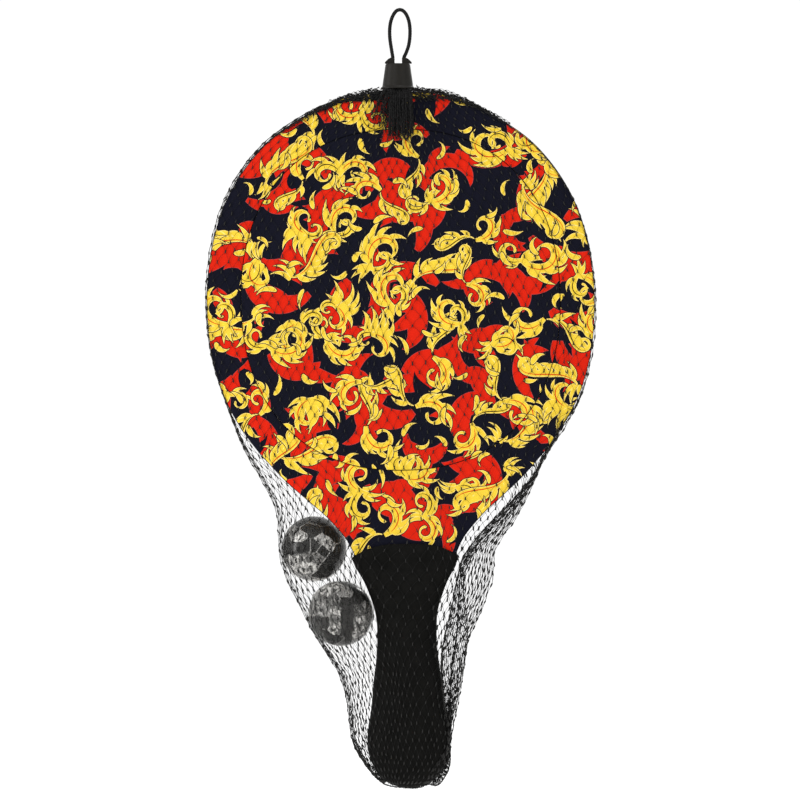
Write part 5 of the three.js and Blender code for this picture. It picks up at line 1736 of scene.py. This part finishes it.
def gathered_rim():
    """Strands of the net that run along the blade's top edge, front and back of it, into the collar."""
    parts, at, way = [], [], []
    lines = []
    for side in (-1, 1):
        for n in range(25):
            reach = 13 + 66 * rng_top.random() ** 1.55
            if side > 0:
                reach *= 0.97
            lay = rng_top.random() ** 1.1
            face = rng_top.choice((-1, -1, -1, 1))
            count = max(10, int(reach / 1.3))
            t = np.linspace(0, 1, count)
            x = COLLAR_X + side * (5.5 * (rng_top.random() - 0.1) * (1 - t) + reach * t)
            taper = np.clip(1 - np.abs(x) / (reach + 6), 0, 1) ** 1.15
            # how far out of the blade's edge the strand lies: from in front of the print to on top of the edge
            out = (-5.6 + 8.9 * lay) * (0.2 + 0.8 * taper) - 0.2
            out = out + (0.35 + 0.9 * taper) * np.sin(x * rng_top.uniform(0.12, 0.4) + rng_top.uniform(0, 6.3))
            z = rim_z(x) + out
            over_edge = np.clip((out + 0.2) / 1.6, 0, 1)
            y_side = face * (PAD_OUT + 0.75 + 0.9 * rng_top.random())
            y_top = face * rng_top.uniform(0.4, 5.2)
            y = y_side * (1 - over_edge) + y_top * over_edge
            out_ok = np.where(over_edge > 0.5, np.maximum(z, rim_z(x) + 0.55), z)
            z = out_ok
            # into the collar's mouth
            near_ = np.clip(1 - np.abs(x - COLLAR_X) / 9.0, 0, 1) ** 0.8
            z = z * (1 - near_) + (-49.2 - 1.2 * (1 - lay)) * near_
            y = y * (1 - near_) + face * (1.6 + 3.6 * rng_top.random()) * near_
            y = np.where(np.abs(x - COLLAR_X) < 11.5, np.clip(y, -6.1, 6.1), y)
            line = np.stack([x, y, z], 1)
            line = np.vstack([[COLLAR_X + side * rng_top.uniform(0.3, 4.2), face * rng_top.uniform(0.5, 3.4), -42.5],
                              [COLLAR_X + side * rng_top.uniform(0.5, 5.2), face * rng_top.uniform(0.5, 3.8), -47.4], line[1:]])
            line = evenly(line, 0.95)
            phase = rng_top.uniform(0, 6)
            pitch_, swing_ = rng_top.uniform(2.8, 4.4), rng_top.uniform(0.35, 0.95)
            for flip in (-1, 1):
                bent, d = zigzag(line, pitch_, flip * swing_, phase)
                lines.append(bent)
            k = np.arange(phase % pitch_, d[-1], pitch_)
            if len(k) > 2:
                pts = np.stack([np.interp(k, d, line[:, c]) for c in range(3)], 1)
                dirs = np.gradient(pts, axis=0)
                dirs[:, 2] += side * rng_top.normal(0, 1.1, len(pts))
                at.append(pts[1:])
                way.append(dirs[1:])
    for line in lines:
        parts.append(tubes(line[None], 0.13, 4))
    parts.append(knots(np.vstack(at), np.vstack(way), 1.9, 0.72, 5))
    # loose meshes that stand off the bunch
    loops_at, loops_way = [], []
    for n in range(64):
        side = rng_top.choice((-1, 1))
        x0 = COLLAR_X + side * (9.5 + 50 * rng_top.random() ** 1.3)
        span = rng_top.uniform(2.2, 6.0)
        rise = rng_top.uniform(0.6, 2.9) * (1 - abs(x0) / 95)
        base = rng_top.uniform(0.4, 2.6) * np.clip(1 - abs(x0) / 62, 0.1, 1)
        t = np.linspace(0, 1, 9)
        x = x0 + side * span * t
        z = rim_z(x) + base + rise * np.sin(math.pi * t)
        y = rng_top.uniform(-5.5, 4.0) + 0.8 * np.sin(math.pi * t)
        parts.append(tubes(np.stack([x, y + 0 * x, z], 1)[None], 0.13, 4))
        m = 4
        loops_at.append([x[m], y[m], z[m]])
        loops_way.append([side * 1.0, 0.0, rng_top.normal(-0.3, 0.4)])
    parts.append(knots(np.array(loops_at), np.array(loops_way), 1.9, 0.75, 6))
    return thread_piece("net_gathered_rim", parts, "net_neck", 0.3)


gathered_rim()


def net_end():
    """The net's cut end, which hangs out of the collar in front of the print: narrow cells, ragged at the bottom."""
    parts, at, way = [], [], []
    groups = [
        # strands, left and right at the top, left and right at the bottom, lowest z from and to, y from and to
        (84, -6.4, 6.4, -7.2, 8.6, -72.0, -81.0, -10.6, -14.2),
        (26, -7.0, -3.0, -18.0, -6.0, -60.0, -72.5, -9.4, -12.0),
        (15, 2.0, 6.8, 3.0, 8.8, -70.0, -81.5, -10.4, -13.0),
        (17, -6.4, 2.0, -11.0, 2.0, -74.0, -82.0, -10.2, -12.6),
    ]
    for strands, l0, r0, l1, r1, z_from, z_to, y_from, y_to in groups:
        for n in range(strands):
            s = (n + rng_top.random()) / strands
            x0, x1 = l0 + (r0 - l0) * s, l1 + (r1 - l1) * s + rng_top.normal(0, 0.5)
            if l1 > -10:
                x1 = min(x1, 8.9)
            low = rng_top.uniform(z_to, z_from)
            count = 15
            t = np.linspace(0, 1, count)
            spread = t ** 0.65
            x = x0 + (x1 - x0) * spread + 0.35 * np.sin(t * rng_top.uniform(4, 9) + rng_top.uniform(0, 6.3)) * t
            z = -47.2 + (low + 47.2) * t
            yy = rng_top.uniform(y_to, y_from)
            start_y = -math.sqrt(max(0.0, 1 - ((x0 + 1.2) / 8.2) ** 2)) * 5.4
            y = start_y + (yy - start_y) * np.clip((t - 0.03) * 3.4, 0, 1) ** 0.75 + 0.3 * np.sin(t * 7 + rng_top.uniform(0, 6.3)) * t
            y = np.minimum(y, -PAD_OUT - 1.1 - 0 * x) if low < -50 else y
            y = np.where(z > -48.4, start_y, y)
            line = evenly(np.stack([x, y, z], 1), 1.5)
            phase = rng_top.uniform(0, 6)
            for flip in (-1, 1):
                bent, d = zigzag(line, 4.4, flip * (0.3 if l1 > -10 else 0.6), phase)
                parts.append(tubes(bent[None], 0.14, 4))
            k = np.arange(1 + phase % 4.4, d[-1], 4.4)
            if len(k) > 1:
                pts = np.stack([np.interp(k, d, line[:, c]) for c in range(3)], 1)
                dirs = np.tile([0.0, 0.0, -1.0], (len(pts), 1)) + rng_top.normal(0, 0.22, (len(pts), 3))
                at.append(pts)
                way.append(dirs)
    parts.append(knots(np.vstack(at), np.vstack(way), 1.8, 0.66, 9))
    return thread_piece("net_end_tuft", parts, "net_tuft", 0.15)


net_end()

# --------------------------------------------- the seam that closes the net

SEAM_LINE = [[-29.6, -450.5], [-27.6, -457.0], [-22.4, -465.6], [-19.4, -469.8], [-16.4, -473.8], [-12.6, -477.3], [-8.4, -479.7],
             [-3.4, -480.8], [1.6, -481.3], [6.6, -481.7], [11.6, -481.3], [15.0, -480.3], [18.0, -479.3], [20.4, -479.9], [22.8, -480.2],
             [25.6, -478.4], [28.8, -473.6], [30.8, -468.8], [31.6, -463.2], [31.4, -455.0]]


def along_line(rows, step, wave=0.0):
    """A line through (x, z) rows in even steps, with each point's distance from the start and its way outwards."""
    line = evenly(spline([(x, wave * math.sin(x * 0.35), z) for x, z in rows], 10), step)
    d = np.concatenate([[0], np.cumsum(np.linalg.norm(np.diff(line, axis=0), axis=1))])
    ahead = np.gradient(line, axis=0)
    ahead /= np.maximum(1e-9, np.linalg.norm(ahead, axis=1))[:, None]
    out = np.stack([ahead[:, 2], 0 * d, -ahead[:, 0]], 1)
    return line, d, ahead, out


def closing_seam():
    """The seam at the net's bottom: the gathered meshes between an outer and an inner thread."""
    parts = []
    line, d, ahead, out = along_line(SEAM_LINE, 0.5, 0.9)
    ripple = 0.2 * np.sin(d * 3.3) + 0.16 * np.sin(d * 1.9 + 1)
    parts.append(tubes((line - out * 0.3 + ripple[:, None] * np.array([0, 1.0, 0]) + 0.5 * ripple[:, None] * out)[None], 0.33, 8))
    left_end, right_start = np.searchsorted(line[:, 0], -1.0), np.searchsorted(line[:, 0], 14.5)
    # how wide the hem is: broad at both sides and nothing under the butt
    wide = np.interp(d, [0, d[left_end] - 2.5, d[left_end], d[right_start], d[right_start] + 4, d[-1]], [2.3, 2.8, 0.6, 0.6, 3.5, 1.7])
    inner = line - out * wide[:, None]
    for first, last in ((2, left_end), (right_start, len(line) - 2)):
        part = inner[first:last] + 0.16 * np.sin(d[first:last] * 2.1)[:, None] * out[first:last]
        part[:, 1] += 0.8 * np.sin(d[first:last] * 0.8)
        parts.append(tubes(part[None], 0.2, 6))
        # the meshes pressed together between the two
        s = d[first] + 0.4
        while s < d[last] - 0.5:
            k = int(np.searchsorted(d, s))
            w = wide[k]
            for _ in range(2 if k > right_start or rng_top.random() < 0.35 else 1):
                a = line[k] - out[k] * rng_top.uniform(-0.1, 0.4) + np.array([0, rng_top.normal(0, 0.8), 0])
                b = line[k] - out[k] * w * rng_top.uniform(0.8, 1.25) + ahead[k] * rng_top.normal(0.6, 1.0) + np.array([0, rng_top.normal(0, 0.8), 0])
                t = np.linspace(0, 1, 6)[:, None]
                bow = ahead[k] * rng_top.normal(0, 0.55) + np.array([0, rng_top.normal(0, 0.6), 0])
                parts.append(tubes((a * (1 - t) + b * t + np.sin(math.pi * t) * bow)[None], 0.14, 4))
            s += rng_top.uniform(0.55, 1.25)
    # the stitches round the seam thread
    for s in np.arange(0.6, d[-1], 0.95):
        k = int(np.searchsorted(d, s))
        under = left_end <= k <= right_start
        if not under and rng_top.random() < 0.45:
            continue
        a = np.linspace(0, 2 * math.pi, 11)
        lean = rng_top.normal(0, 0.25)
        tall = (0.36 + (0.36 if under else 0.2) * rng_top.random())
        ring = line[k] - out[k] * 0.3 + (0.6 * np.sin(a))[:, None] * np.array([0, 1.0, 0]) + (tall * np.cos(a))[:, None] * out[k] + (0.5 * a / 6.28 + lean * np.cos(a) * 0.4)[:, None] * ahead[k]
        parts.append(tubes(ring[None], 0.17, 4))
    # the net's corner, pushed together beside the butt
    for _ in range(210):
        k = int(rng_top.uniform(right_start + 1, len(line) - 6))
        c = line[k] - out[k] * rng_top.uniform(0.5, wide[k] + 0.9) + np.array([0.0, rng_top.normal(0, 1.1), 0.0])
        a = np.linspace(0, 2 * math.pi, 10)
        lean = rng_top.normal(0, 1, 3)
        lean /= np.linalg.norm(lean)
        u = np.cross(lean, [0.0, 0.4, 0.9])
        u /= np.linalg.norm(u)
        w = np.cross(lean, u)
        size = rng_top.uniform(0.45, 1.05)
        loop = c + size * np.cos(a)[:, None] * u + 0.6 * size * np.sin(a)[:, None] * w
        parts.append(tubes(loop[None], 0.15, 4))
    return thread_piece("net_closing_seam", parts, "net_bottom_seam", 0.0)


closing_seam()
